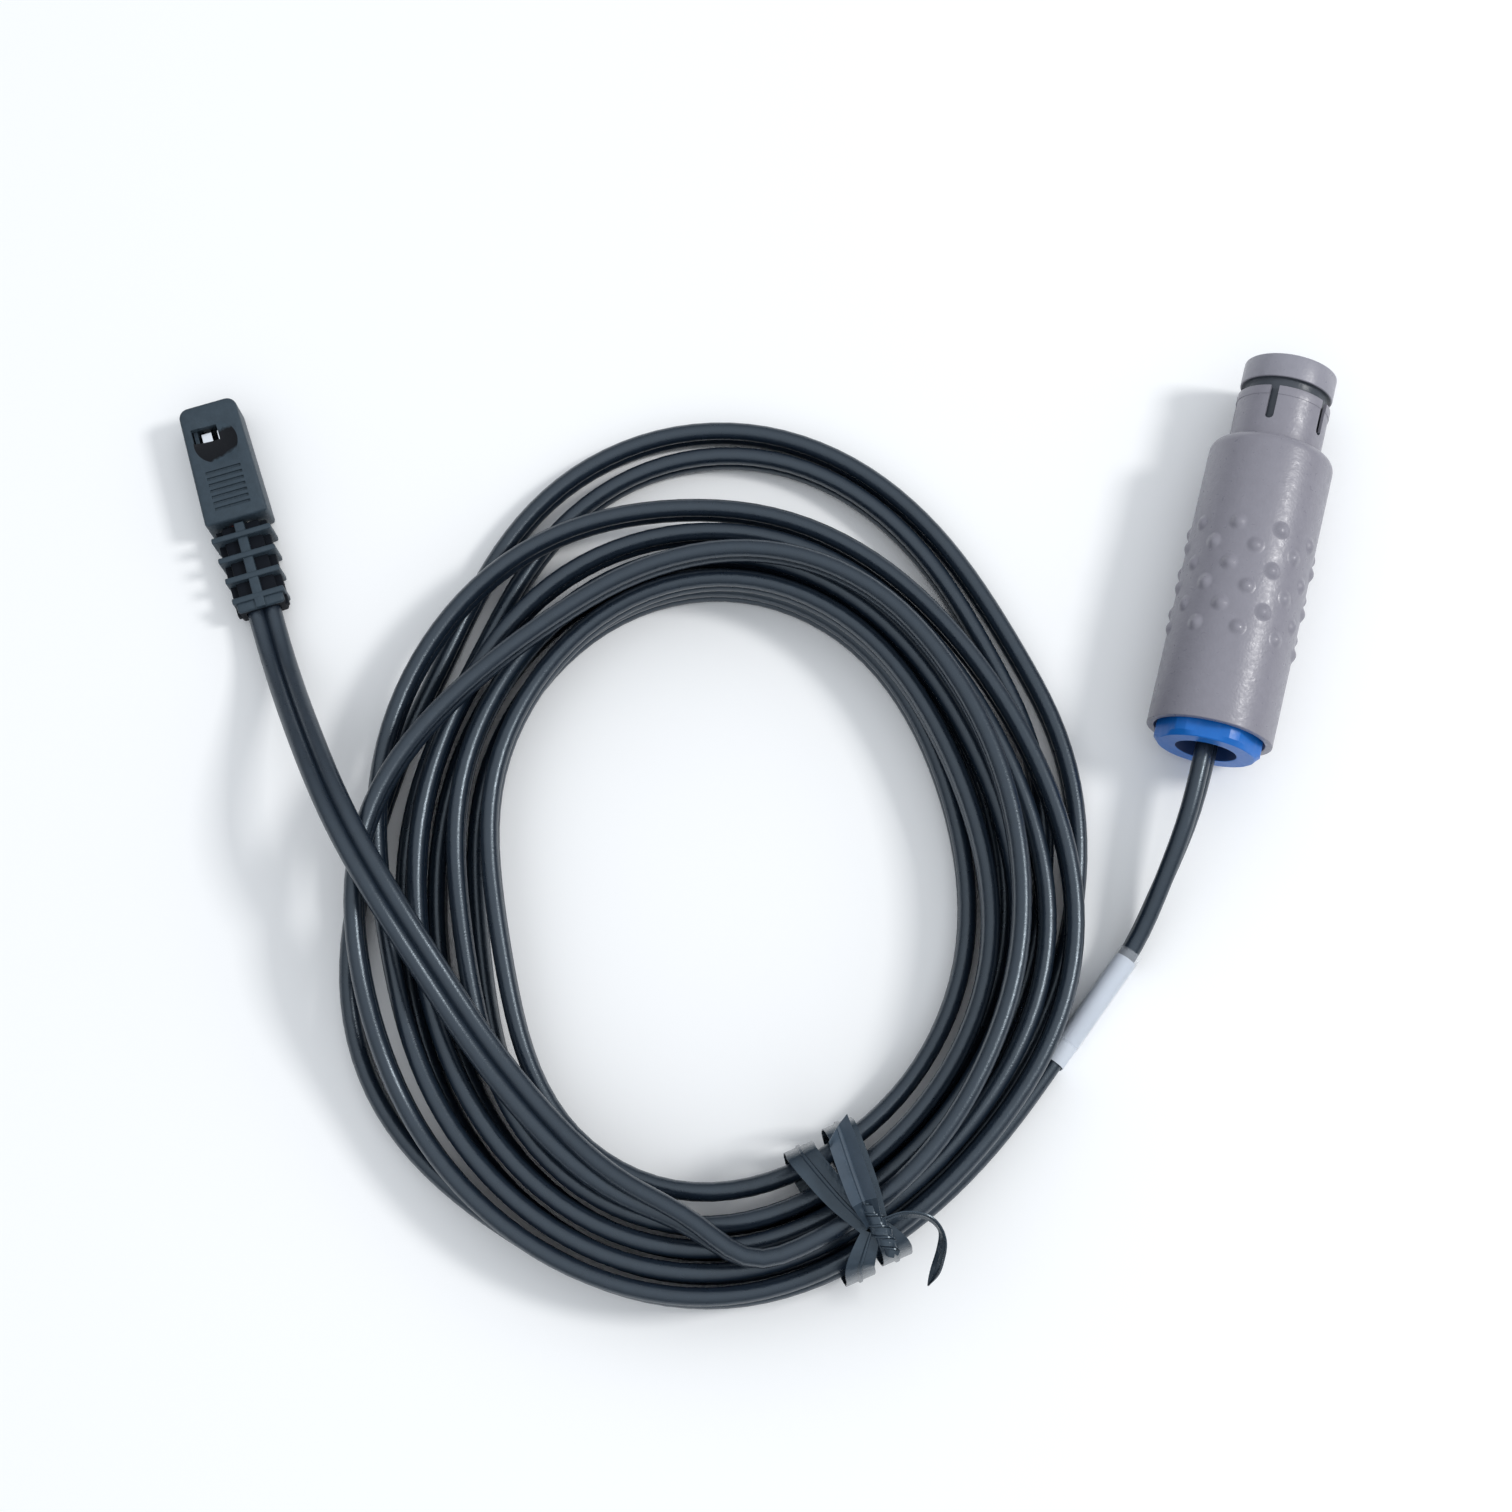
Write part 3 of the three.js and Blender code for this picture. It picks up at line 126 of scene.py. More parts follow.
def swell(distance, reach):
    """1 at no distance, falling smoothly to 0 at its reach."""
    part = abs(distance) / reach
    return 0 if part >= 1 else math.cos(math.pi / 2 * part) ** 2


def from_angle(degrees, centre):
    """The signed angle from centre, between -180 and 180."""
    return (degrees - centre + 180) % 360 - 180


def oval_radius(oval, degrees):
    """Distance from an oval's middle to its edge, with its half width and half height."""
    angle = math.radians(degrees)
    return 1 / math.hypot(math.sin(angle) / oval[0], math.cos(angle) / oval[1])


def pulled(pulls, degrees):
    """What the pulls add to an oval at this angle."""
    return sum(by * swell(from_angle(degrees, at), reach) for by, at, reach in pulls)


def way_in(turns):
    """Share of the way from the outer oval to the inner one, before the last turn crosses over."""
    if turns <= CLIMB_MIDDLE:
        return turns / CLIMB_MIDDLE
    return max(1 - (turns - CLIMB_MIDDLE) / (OVER_FROM - CLIMB_MIDDLE), 0)


def coil_station(turns):
    """Angle, radius and height of the cord's middle, so many turns from the coil's start."""
    degrees = COIL_START + 360 * turns
    over = 360 * (turns - OVER_FROM)
    inward = way_in(turns) + sum(by * ease(over, low, high) for by, low, high in CROSSINGS)
    bulge, bulge_at, bulge_reach = CROSSING_BULGE
    inward += bulge * swell(over - bulge_at, bulge_reach)
    layer = ease(turns, TURNS_IN, TURNS_IN + TURNS_CLIMB) + ease(over, *LAST_CLIMB)
    outer = oval_radius(OUTER_OVAL, degrees) + pulled(OUTER_PULLS, degrees)
    outer += LOBE * math.cos(math.radians(LOBES * (degrees - LOBE_AT)))
    outer += pulled([UPPER_PULL], degrees) * min(layer, 1)
    inner = oval_radius(INNER_OVAL, degrees) + pulled(INNER_PULLS, degrees)
    radius = outer + (inner - outer) * inward
    radius += sum(by * swell(degrees - at, reach) for by, at, reach in LOOSE_TURNS)
    if over <= 0:
        radius += pulled([LEFT_SWING], degrees) * ease(inward, *SWING_SHARES)
    radius -= CLIMB_ROOM * swell(turns - CLIMB_MIDDLE, TURNS_CLIMB)
    lift = TIE_LIFT * swell(from_angle(degrees, TIE_AT), TIE_LIFT_REACH)
    return degrees, radius, FLOOR_LAYER + LAYER_STEP * layer + lift


def coil_point(turns):
    """The cord's middle in the row frame, in millimetres."""
    degrees, radius, height = coil_station(turns)
    angle = math.radians(degrees - COIL_TURN)
    x = COIL_CENTRE.x + radius * math.sin(angle)
    y = COIL_CENTRE.y + radius * math.cos(angle)
    return Vector((x, y, height))


print("turns in the coil:", round(COIL_TURNS, 2))

# %% [markdown]
# ## The whole route
# The cord leaves the connector's nut, drops to the table, runs through its label into the coil, and after
# the tie swings over the coil to the flat plug. Those two free ends are a few given points. A
# centripetal Catmull-Rom curve joins them, because it passes through every point and never overshoots at
# a close pair.

# %% Points of the two free ends
AXIS_HEIGHT = 8.429  # of the connector above the table
PLUG_PLACE, PLUG_TURN = Vector((-128.05, -26.95, 0)), math.radians(31.7)
PLUG_THICKNESS = 6.0
RELIEF_LENGTH = 12.0
coil_first, coil_last = coil_point(0), coil_point(COIL_TURNS)


def level_direction(start, end):
    """The unit vector from start to end, with no rise."""
    direction = end - start
    direction.z = 0
    return direction.normalized()


into_coil = level_direction(coil_first, coil_point(0.002))
out_of_coil = level_direction(coil_point(COIL_TURNS - 0.002), coil_last)


def plug_point(x, y, z):
    """A point in the flat plug's own frame, in which it lies along y, as a point in the row frame."""
    return Matrix.Rotation(PLUG_TURN, 3, "Z") @ Vector((x, y, z)) + PLUG_PLACE


lead_points = [
    Vector(place)
    for place in [
        (0, -21.75, AXIS_HEIGHT),
        (0, -24.2, AXIS_HEIGHT),
        (0, -30.0, AXIS_HEIGHT),
        (0, -34.0, AXIS_HEIGHT - 0.4),
        (-0.6, -39.0, AXIS_HEIGHT - 1.5),
        (-1.3, -43.7, AXIS_HEIGHT - 3.0),
        (-2.0, -47.9, AXIS_HEIGHT - 4.2),
    ]
]
lead_points += [coil_first - into_coil * distance for distance in (24.7, 23.1, 13.75, 5.5)]
tail_points = [coil_last + out_of_coil * distance for distance in (4.7, 8.4)]
tail_points += [
    Vector(place)
    for place in [
        (-47.5, -98.9, 12.4),
        (-57.0, -97.4, 12.0),
        (-66.0, -93.3, 11.5),
        (-74.3, -87.7, 11.5),
        (-79.4, -83.7, 12.0),
        (-85.8, -78.0, 13.6),
        (-91.5, -72.9, 15.4),
        (-97.3, -67.4, 16.1),
        (-101.5, -63.1, 15.9),
        (-105.7, -58.3, 13.9),
        (-109.8, -53.4, 10.8),
        (-113.8, -48.5, 7.2),
    ]
]
RELIEF_END = -RELIEF_LENGTH - 0.6  # where the cord comes out of the relief, in the plug's frame
tail_points += [plug_point(0, RELIEF_END + y, PLUG_THICKNESS / 2) for y in (-4.4, 0, 2.5)]
print("points on the free ends:", len(lead_points), "and", len(tail_points))

# %% One smooth path
STEP = 2.4  # mm between rings of the cord


def catmull_rom(points, per_span=12):
    """A centripetal Catmull-Rom curve through the points."""
    ends = [points[0] * 2 - points[1]] + points + [points[-1] * 2 - points[-2]]
    curve = []
    for p0, p1, p2, p3 in zip(ends, ends[1:], ends[2:], ends[3:]):
        knots = [0.0]
        for a, b in ((p0, p1), (p1, p2), (p2, p3)):
            knots.append(knots[-1] + max((b - a).length, 1e-6) ** 0.5)
        for i in range(per_span):
            t = knots[1] + (knots[2] - knots[1]) * i / per_span
            a1 = p0.lerp(p1, (t - knots[0]) / (knots[1] - knots[0]))
            a2 = p1.lerp(p2, (t - knots[1]) / (knots[2] - knots[1]))
            a3 = p2.lerp(p3, (t - knots[2]) / (knots[3] - knots[2]))
            b1 = a1.lerp(a2, (t - knots[0]) / (knots[2] - knots[0]))
            b2 = a2.lerp(a3, (t - knots[1]) / (knots[3] - knots[1]))
            curve.append(b1.lerp(b2, (t - knots[1]) / (knots[2] - knots[1])))
    return curve + [points[-1].copy()]


def even_steps(curve, step):
    """The same line with its points an even distance apart."""
    line = np.array([tuple(p) for p in curve])
    run = np.concatenate([[0], np.cumsum(np.linalg.norm(np.diff(line, axis=0), axis=1))])
    stations = np.linspace(0, run[-1], int(round(run[-1] / step)) + 1)
    return np.stack([np.interp(stations, run, line[:, k]) for k in range(3)], axis=1), stations


def eased(line, rounds):
    """Softens small kinks, with both ends held."""
    for _ in range(rounds):
        line[1:-1] = 0.25 * line[:-2] + 0.5 * line[1:-1] + 0.25 * line[2:]
    return line


lead_curve = catmull_rom(lead_points)
tail_curve = catmull_rom(tail_points)
coil_curve = [coil_point(COIL_TURNS * i / 1200) for i in range(1201)]
path, stations = even_steps(lead_curve + coil_curve + tail_curve, STEP)
path = eased(path, 4)
lead_length = sum((b - a).length for a, b in zip(lead_curve, lead_curve[1:]))
tail_length = sum((b - a).length for a, b in zip(tail_curve, tail_curve[1:]))
cord_length = float(stations[-1])
print("cord length, mm:", round(cord_length), "rings:", len(path))

# %% [markdown]
# ## The cord
# Two round cores share one black jacket, so the section is a figure of eight, 4.4 by 2.3 mm. A curve with
# a bevel would roll as it liked along the coil. Rings of points give a roll that is chosen everywhere:
# leaning at the nut, on edge in the coil, where flat cord likes to stand, and flat again at the plug.

# %% Shared mesh helpers
def mesh_object(name, points, faces, crease=35):
    """A mesh object from points in millimetres, smooth apart from edges sharper than crease degrees."""
    mesh = bpy.data.meshes.new(name)
    mesh.from_pydata([tuple(Vector(p) * MM) for p in points], [], faces)
    tidy_normals(mesh, crease)
    thing = bpy.data.objects.new(name, mesh)
    bpy.context.scene.collection.objects.link(thing)
    return thing


def tidy_normals(mesh, crease=35):
    """Faces outwards, smooth shading, and sharp edges where the surface turns more than crease degrees."""
    work = bmesh.new()
    work.from_mesh(mesh)
    bmesh.ops.remove_doubles(work, verts=work.verts, dist=1e-7)
    bmesh.ops.recalc_face_normals(work, faces=work.faces)
    work.to_mesh(mesh)
    work.free()
    mesh.shade_smooth()
    mesh.set_sharp_from_angle(angle=math.radians(crease))


def tube_faces(rings, sides, closed=False):
    """Faces that join rings of points into a tube, with flat ends unless it closes on itself."""
    faces = []
    for ring in range(rings if closed else rings - 1):
        for side in range(sides):
            a, b = ring * sides + side, ring * sides + (side + 1) % sides
            after = (ring + 1) % rings * sides
            faces.append((a, b, after + (side + 1) % sides, after + side))
    if not closed:
        faces += [tuple(range(sides))[::-1], tuple((rings - 1) * sides + i for i in range(sides))]
    return faces


print("faces of a tube with four sides and two rings:", len(tube_faces(2, 4)))

# %% [markdown]
# A frame is needed at each point of the line: one direction across the cord's wide side and one across
# its thin side. It is worked out afresh from the line's direction and a roll, so no twist can build up
# along the coil.

# %% Sweeping a section along a line
def level_frame(tangent, roll):
    """The cord's wide and thin directions. Roll 0 stands it on edge, and 90 lays it flat."""
    side = tangent.cross(Vector((0, 0, 1))).normalized()
    lift = side.cross(tangent).normalized()
    wide = lift * math.cos(math.radians(roll)) + side * math.sin(math.radians(roll))
    return wide, tangent.cross(wide).normalized()


def swept(name, line, rolls, section, crease=40):
    """A section of (wide, thin) points carried along a line of points, with a roll for each."""
    points = []
    for i, centre in enumerate(line):
        before, after = line[max(i - 1, 0)], line[min(i + 1, len(line) - 1)]
        wide, thin = level_frame((Vector(after) - Vector(before)).normalized(), rolls[i])
        points += [Vector(centre) + wide * u + thin * v for u, v in section]
    return mesh_object(name, points, tube_faces(len(line), len(section)), crease)


# %% The cord's section and roll
CORE_RADIUS = CORD_THICKNESS / 2
CORE_OFFSET = CORD_WIDTH / 2 - CORE_RADIUS  # of each core's middle from the cord's
LEAD_ROLL = 22


def twin_section(per_core=12):
    """Two round lobes that meet in a sharp valley, as (wide, thin) points."""
    valley = math.acos(-CORE_OFFSET / CORE_RADIUS)
    outline = []
    for side in (1, -1):
        for k in range(per_core):
            angle = side * valley * (2 * k / per_core - 1)
            wide = side * (CORE_OFFSET + CORE_RADIUS * math.cos(angle))
            outline.append((wide, CORE_RADIUS * math.sin(angle)))
    return outline


def cord_roll(station):
    """Roll of the cord so far along it: it rights itself after the nut and lies down after the coil."""
    tail_start = cord_length - tail_length
    roll = LEAD_ROLL * (1 - ease(station, 3, 0.6 * lead_length))
    return roll + 90 * ease(station, tail_start, tail_start + 0.35 * tail_length)


cord = swept("cord", path, [cord_roll(s) for s in stations], twin_section(), 60)
print("cord faces:", len(cord.data.polygons))

# %% [markdown]
# ## Turned pieces
# The release sleeve, nose, collar and pins of the connector are all turned or moulded round one axis. A
# lathe in mesh code keeps every radius of their profiles, and rounds each corner a little, because it is
# the small radius on an edge that catches the light on moulded plastic.

# %% Lathe with rounded corners
def rounded(profile, radius, steps=3):
    """A closed profile with its corners rounded, as far as their neighbours leave room."""
    corners = [Vector(p) for p in profile]
    outline = []
    for i, corner in enumerate(corners):
        before, after = corners[i - 1], corners[(i + 1) % len(corners)]
        reach = min(radius, 0.45 * (before - corner).length, 0.45 * (after - corner).length)
        start = corner + (before - corner).normalized() * reach
        end = corner + (after - corner).normalized() * reach
        for k in range(steps + 1):
            t = k / steps
            outline.append(start.lerp(corner, t).lerp(corner.lerp(end, t), t))
    return outline


def lathe(name, profile, sides=128, rounding=0.15, crease=30):
    """A ring-shaped piece from a closed (radius, station) profile, round the connector's axis."""
    outline = rounded(profile, rounding) if rounding else [Vector(p) for p in profile]
    points = []
    for side in range(sides):
        angle = 2 * math.pi * side / sides
        for radius, station in outline:
            points.append((radius * math.sin(angle), station, AXIS_HEIGHT + radius * math.cos(angle)))
    return mesh_object(name, points, tube_faces(sides, len(outline), closed=True), crease)


def rod(name, profile, sides=32, crease=30):
    """A solid turned piece whose profile starts and ends on the axis."""
    points = []
    for reach, station in profile:
        radius = max(reach, 1e-4)
        for side in range(sides):
            angle = 2 * math.pi * side / sides
            points.append((radius * math.sin(angle), station, radius * math.cos(angle)))
    return mesh_object(name, points, tube_faces(len(profile), sides), crease)


square = [(1, 0), (2, 0), (2, 1), (1, 1)]
print("points of a square profile once it is rounded:", len(rounded(square, 0.1)))

# %% Sizes of the connector
NOSE_TIP, SHELL_FRONT, SHELL_REAR, NUT_END = 26.2, 14.7, -24.15, -26.2
SHELL_RADIUS, SHELL_BORE, LIP_BORE = 8.0, 7.05, 6.33
SHOULDER_RADIUS, LIP_LENGTH = 1.5, 2.2
RIB_FRONT, RIB_LENGTH, RIB_BORE = -9.7, 1.4, 6.15
RING_RADIUS, RING_LENGTH, GROOVE_WIDTH = 6.0, 3.2, 1.3
COLLAR_RADIUS, COLLAR_WALL, COLLAR_STEP, COLLAR_STEP_HEIGHT = 5.95, 0.4, 1.2, 0.08
NECK_RADIUS, FLANGE_RADIUS, BODY_RADIUS = 5.25, 6.6, 6.0
SOCKET_RADIUS, SOCKET_DEPTH, BARREL_BORE = 3.9, 9.2, 4.5
FLANGE_FRONT, COLLAR_REAR, BODY_REAR = 10.2, 8.1, -9.4
COLLAR_FRONT = NOSE_TIP - RING_LENGTH - GROOVE_WIDTH
print("connector length, mm:", round(NOSE_TIP - NUT_END, 1))

# %% Release sleeve
def shoulder():
    """The rounded front edge of the release sleeve, from its side to its face."""
    arc = []
    for i in range(9):
        angle = math.pi / 2 * i / 8
        radius = SHELL_RADIUS - SHOULDER_RADIUS * (1 - math.cos(angle))
        arc.append((radius, SHELL_FRONT - SHOULDER_RADIUS * (1 - math.sin(angle))))
    return arc


sleeve_profile = [
    (LIP_BORE, SHELL_FRONT),
    (LIP_BORE, SHELL_FRONT - LIP_LENGTH),
    (SHELL_BORE, SHELL_FRONT - LIP_LENGTH),
    (SHELL_BORE, RIB_FRONT),
    (RIB_BORE, RIB_FRONT),
    (RIB_BORE, RIB_FRONT - RIB_LENGTH),
    (SHELL_BORE, RIB_FRONT - RIB_LENGTH),
    (SHELL_BORE, SHELL_REAR),
    (SHELL_RADIUS, SHELL_REAR),
] + shoulder()
release_sleeve = lathe("release_sleeve", sleeve_profile, sides=160)
print("release sleeve faces:", len(release_sleeve.data.polygons))

# %% [markdown]
# ## The nose and its key
# Inside the nose's socket stands a small key, so that a plug goes in one way only. It is a softened block
# that a boolean joins to the turned nose. The slots, the plug's pocket and its grooves are cut with the
# same helper.

# %% Blocks, cuts and joins
def block(name, size, centre, bevel=0.0):
    """A box with its size and centre in millimetres, and its edges rounded by bevel."""
    sx, sy, sz = (s / 2 for s in size)
    corners = [(x, y, z) for x in (-sx, sx) for y in (-sy, sy) for z in (-sz, sz)]
    sides = [(0, 1, 3, 2), (4, 6, 7, 5), (0, 4, 5, 1), (2, 3, 7, 6), (0, 2, 6, 4), (1, 5, 7, 3)]
    thing = mesh_object(name, [Vector(c) + Vector(centre) for c in corners], sides)
    if bevel:
        work = bmesh.new()
        work.from_mesh(thing.data)
        bmesh.ops.bevel(work, geom=work.edges[:], offset=bevel * MM, segments=3, profile=0.5, affect="EDGES")
        work.to_mesh(thing.data)
        work.free()
        tidy_normals(thing.data)
    return thing


def settle(thing, crease=30):
    """Turns what the modifiers make into the object's own mesh."""
    graph = bpy.context.evaluated_depsgraph_get()
    mesh = bpy.data.meshes.new_from_object(thing.evaluated_get(graph))
    thing.modifiers.clear()
    thing.data = mesh
    tidy_normals(mesh, crease)
    return thing


def combine(thing, others, operation="DIFFERENCE", crease=30):
    """Cuts the others out of a piece, or joins them to it, and deletes them."""
    for other in others:
        cutter = thing.modifiers.new("cut", "BOOLEAN")
        cutter.object, cutter.operation, cutter.solver = other, operation, "EXACT"
    settle(thing, crease)
    for other in others:
        bpy.data.objects.remove(other)
    return thing


# %% Nose, with its key
REAR_COLLAR_LENGTH, PIECE_GAP = 2.0, 0.3
nose_profile = [
    (SOCKET_RADIUS, NOSE_TIP),
    (SOCKET_RADIUS, NOSE_TIP - SOCKET_DEPTH),
    (BARREL_BORE, NOSE_TIP - SOCKET_DEPTH),
    (BARREL_BORE, BODY_REAR),
    (FLANGE_RADIUS, BODY_REAR),
    (FLANGE_RADIUS, BODY_REAR + REAR_COLLAR_LENGTH),
    (BODY_RADIUS, BODY_REAR + REAR_COLLAR_LENGTH),
    (BODY_RADIUS, COLLAR_REAR - PIECE_GAP),
    (NECK_RADIUS, COLLAR_REAR - PIECE_GAP),
    (NECK_RADIUS, NOSE_TIP - RING_LENGTH),
    (RING_RADIUS, NOSE_TIP - RING_LENGTH),
    (RING_RADIUS, NOSE_TIP),
]
KEY_WIDTH, KEY_HEIGHT, KEY_ROOT, KEY_LENGTH = 1.0, 0.7, 0.4, 4.2
nose = lathe("nose", nose_profile, rounding=0.22)
key_size = (KEY_WIDTH, KEY_LENGTH, KEY_HEIGHT + KEY_ROOT)
key_station = NOSE_TIP - SOCKET_DEPTH + KEY_LENGTH / 2
key_height = AXIS_HEIGHT + SOCKET_RADIUS + (KEY_ROOT - KEY_HEIGHT) / 2
combine(nose, [block("key", key_size, (0, key_station, key_height), 0.1)], "UNION")
print("nose faces:", len(nose.data.polygons))

# %% [markdown]
# ## The slotted collar
# The latch collar is a thin sleeve whose front edge is cut into fingers by five U-shaped slots. Cutting
# with a boolean is the plain way here: the slots are few, their ends are round, and the thin wall leaves
# no odd seams.

# %% Collar and its slots
SLOT_WIDTH, SLOT_LENGTH, SLOTS, SLOT_PHASE = 1.1, 4.6, 5, -22
collar_profile = [
    (COLLAR_RADIUS - COLLAR_WALL, COLLAR_REAR),
    (FLANGE_RADIUS, COLLAR_REAR),
    (FLANGE_RADIUS, FLANGE_FRONT),
    (COLLAR_RADIUS, FLANGE_FRONT),
    (COLLAR_RADIUS, COLLAR_FRONT - COLLAR_STEP),
    (COLLAR_RADIUS + COLLAR_STEP_HEIGHT, COLLAR_FRONT - COLLAR_STEP),
    (COLLAR_RADIUS + COLLAR_STEP_HEIGHT, COLLAR_FRONT),
    (COLLAR_RADIUS - COLLAR_WALL, COLLAR_FRONT),
]
slotted_collar = lathe("slotted_collar", collar_profile, rounding=0.12)


def turned_round(thing, degrees):
    """Turns a piece about the connector's axis, clockwise from the top seen from behind."""
    about = Vector((0, 0, AXIS_HEIGHT)) * MM
    turn = Matrix.Rotation(math.radians(degrees), 4, "Y")
    thing.data.transform(Matrix.Translation(about) @ turn @ Matrix.Translation(-about))
    return thing


def slot_cutter(degrees):
    """A block with a round end that cuts one slot into the collar's front edge."""
    half = SLOT_WIDTH / 2
    straight = SLOT_LENGTH - half
    outline = [(half, 1.0), (-half, 1.0)]
    for k in range(13):
        angle = math.pi * k / 12
        outline.append((-half * math.cos(angle), -straight - half * math.sin(angle)))
    height = AXIS_HEIGHT + COLLAR_RADIUS - COLLAR_WALL / 2
    points = [(x, COLLAR_FRONT + y, height + z) for z in (-1, 1) for x, y in outline]
    return turned_round(mesh_object("slot", points, tube_faces(2, len(outline))), degrees)


combine(slotted_collar, [slot_cutter(SLOT_PHASE + 360 / SLOTS * i) for i in range(SLOTS)])
print("collar faces:", len(slotted_collar.data.polygons))

# %% [markdown]
# ## Grip bumps
# Six rings of nine low bumps stand on the sleeve, every second ring shifted by half a step. That is a
# rule, so Geometry Nodes lay them out: one bump is modelled, and the tree copies it to each place. The
# bump's foot runs out flush with the sleeve, so that it looks moulded with it.

# %% One bump
BUMP_RADIUS, BUMP_HEIGHT = 1.25, 0.45
FOOT_SINK, CORE_SINK = 0.004, 0.4  # how far its edge and its closed underside lie in the sleeve


def bump_mesh(rings=9, sides=20):
    """A low dome whose foot follows the sleeve's round surface, with its middle at the top."""
    points = [(0, 0, SHELL_RADIUS + BUMP_HEIGHT)]
    for ring in range(1, rings + 1):
        reach = BUMP_RADIUS * ring / rings
        rise = BUMP_HEIGHT * (0.5 + 0.5 * math.cos(math.pi * (ring / rings) ** 1.15)) - FOOT_SINK
        for side in range(sides):
            angle = 2 * math.pi * side / sides
            around = reach * math.sin(angle) / SHELL_RADIUS
            radius = SHELL_RADIUS + rise
            points.append((radius * math.sin(around), reach * math.cos(angle), radius * math.cos(around)))
    points.append((0, 0, SHELL_RADIUS - CORE_SINK))
    last = len(points) - 1
    faces = [(0, 1 + side, 1 + (side + 1) % sides) for side in range(sides)]
    for ring in range(rings - 1):
        for side in range(sides):
            a, b = 1 + ring * sides + side, 1 + ring * sides + (side + 1) % sides
            faces.append((a, a + sides, b + sides, b))
    rim = 1 + (rings - 1) * sides
    faces += [(rim + (side + 1) % sides, rim + side, last) for side in range(sides)]
    return mesh_object("grip_bumps", points, faces, 80)


grip_bumps = bump_mesh()
print("faces in one bump:", len(grip_bumps.data.polygons))

# %% [markdown]
# Trees written out link by link are long. This helper adds a node, sets it up and links its inputs in one
# line, for geometry and for shaders alike. Named inputs keep the sizes out of the tree, so it could lay
# out any bumps.

# %% Node helper
class Tree:
    """A short way to add nodes to a tree and link them."""

    def __init__(self, tree):
        self.tree = tree

    def add(self, kind, settings=(), **inputs):
        node = self.tree.nodes.new(kind)
        for key, value in dict(settings).items():
            setattr(node, key, value)
        for key, value in inputs.items():
            self.put(node.inputs[key.replace("_", " ")], value)
        return node

    def put(self, socket, value):
        if isinstance(value, bpy.types.NodeSocket):
            self.tree.links.new(value, socket)
        else:
            socket.default_value = value

    def math(self, operation, a, b=0.0):
        node = self.tree.nodes.new("ShaderNodeMath")
        node.operation = operation
        self.put(node.inputs[0], a)
        self.put(node.inputs[1], b)
        return node.outputs[0]


def tree_inputs(tree, sockets):
    """Adds named inputs, each (name, socket type, start value), and the geometry in and out."""
    tree.interface.new_socket("Geometry", in_out="OUTPUT", socket_type="NodeSocketGeometry")
    tree.interface.new_socket("Geometry", in_out="INPUT", socket_type="NodeSocketGeometry")
    for name, kind, value in sockets:
        socket = tree.interface.new_socket(name, in_out="INPUT", socket_type=kind)
        if value is not None:
            socket.default_value = value


def run_tree(thing, tree, values, crease=30):
    """Runs a node tree on an object with these inputs and keeps the mesh that it makes."""
    modifier = thing.modifiers.new(tree.name, "NODES")
    modifier.node_group = tree
    for item in tree.interface.items_tree:
        if item.item_type == "SOCKET" and item.in_out == "INPUT" and item.name in values:
            modifier[item.identifier] = values[item.name]
    return settle(thing, crease)


print("node groups so far:", len(bpy.data.node_groups))

# %% The rings of bumps
def bump_tree():
    """Copies the bump in staggered rings round the sleeve's axis."""
    tree = bpy.data.node_groups.new("grip bump rings", "GeometryNodeTree")
    ints = [("Rings", "NodeSocketInt", 6), ("Per Ring", "NodeSocketInt", 9)]
    floats = [("Pitch", "NodeSocketFloat", 0.003), ("First", "NodeSocketFloat", 0.0)]
    floats += [("Phase", "NodeSocketFloat", 0.0), ("Axis Height", "NodeSocketFloat", 0.008)]
    tree_inputs(tree, ints + floats + [("Material", "NodeSocketMaterial", None)])
    t = Tree(tree)
    start = t.add("NodeGroupInput").outputs
    index = t.add("GeometryNodeInputIndex").outputs[0]
    ring = t.math("FLOOR", t.math("DIVIDE", index, start["Per Ring"]))
    place = t.math("SUBTRACT", index, t.math("MULTIPLY", ring, start["Per Ring"]))
    shift = t.math("MULTIPLY", t.math("FLOORED_MODULO", ring, 2.0), 0.5)
    spacing = t.math("DIVIDE", 2 * math.pi, start["Per Ring"])
    angle = t.math("ADD", t.math("MULTIPLY", t.math("ADD", place, shift), spacing), start["Phase"])
    station = t.math("SUBTRACT", start["First"], t.math("MULTIPLY", ring, start["Pitch"]))
    position = t.add("ShaderNodeCombineXYZ", Y=station, Z=start["Axis Height"]).outputs[0]
    count = t.math("MULTIPLY", start["Rings"], start["Per Ring"])
    points = t.add("GeometryNodePoints", Count=count, Position=position).outputs[0]
    euler = t.add("ShaderNodeCombineXYZ", Y=angle).outputs[0]
    turn = t.add("FunctionNodeEulerToRotation", Euler=euler).outputs[0]
    copies = t.add("GeometryNodeInstanceOnPoints", Points=points, Instance=start["Geometry"], Rotation=turn)
    real = t.add("GeometryNodeRealizeInstances", Geometry=copies.outputs[0]).outputs[0]
    painted = t.add("GeometryNodeSetMaterial", Geometry=real, Material=start["Material"]).outputs[0]
    t.add("NodeGroupOutput", Geometry=painted)
    return tree


bump_rings = bump_tree()
print("nodes in the bumps' tree:", len(bump_rings.nodes))

# %% [markdown]
# ## Materials
# Everything but the contacts is moulded plastic or extruded jacket. Such a surface is one colour to the
# eye, but it has a fine grain from the mould, a slow drift in gloss where it has been handled, and a
# slight drift in colour. One shader group makes all three from the object's own coordinates, and each
# material sets its own values. Constants of the shader, such as its coat, stay in the material.

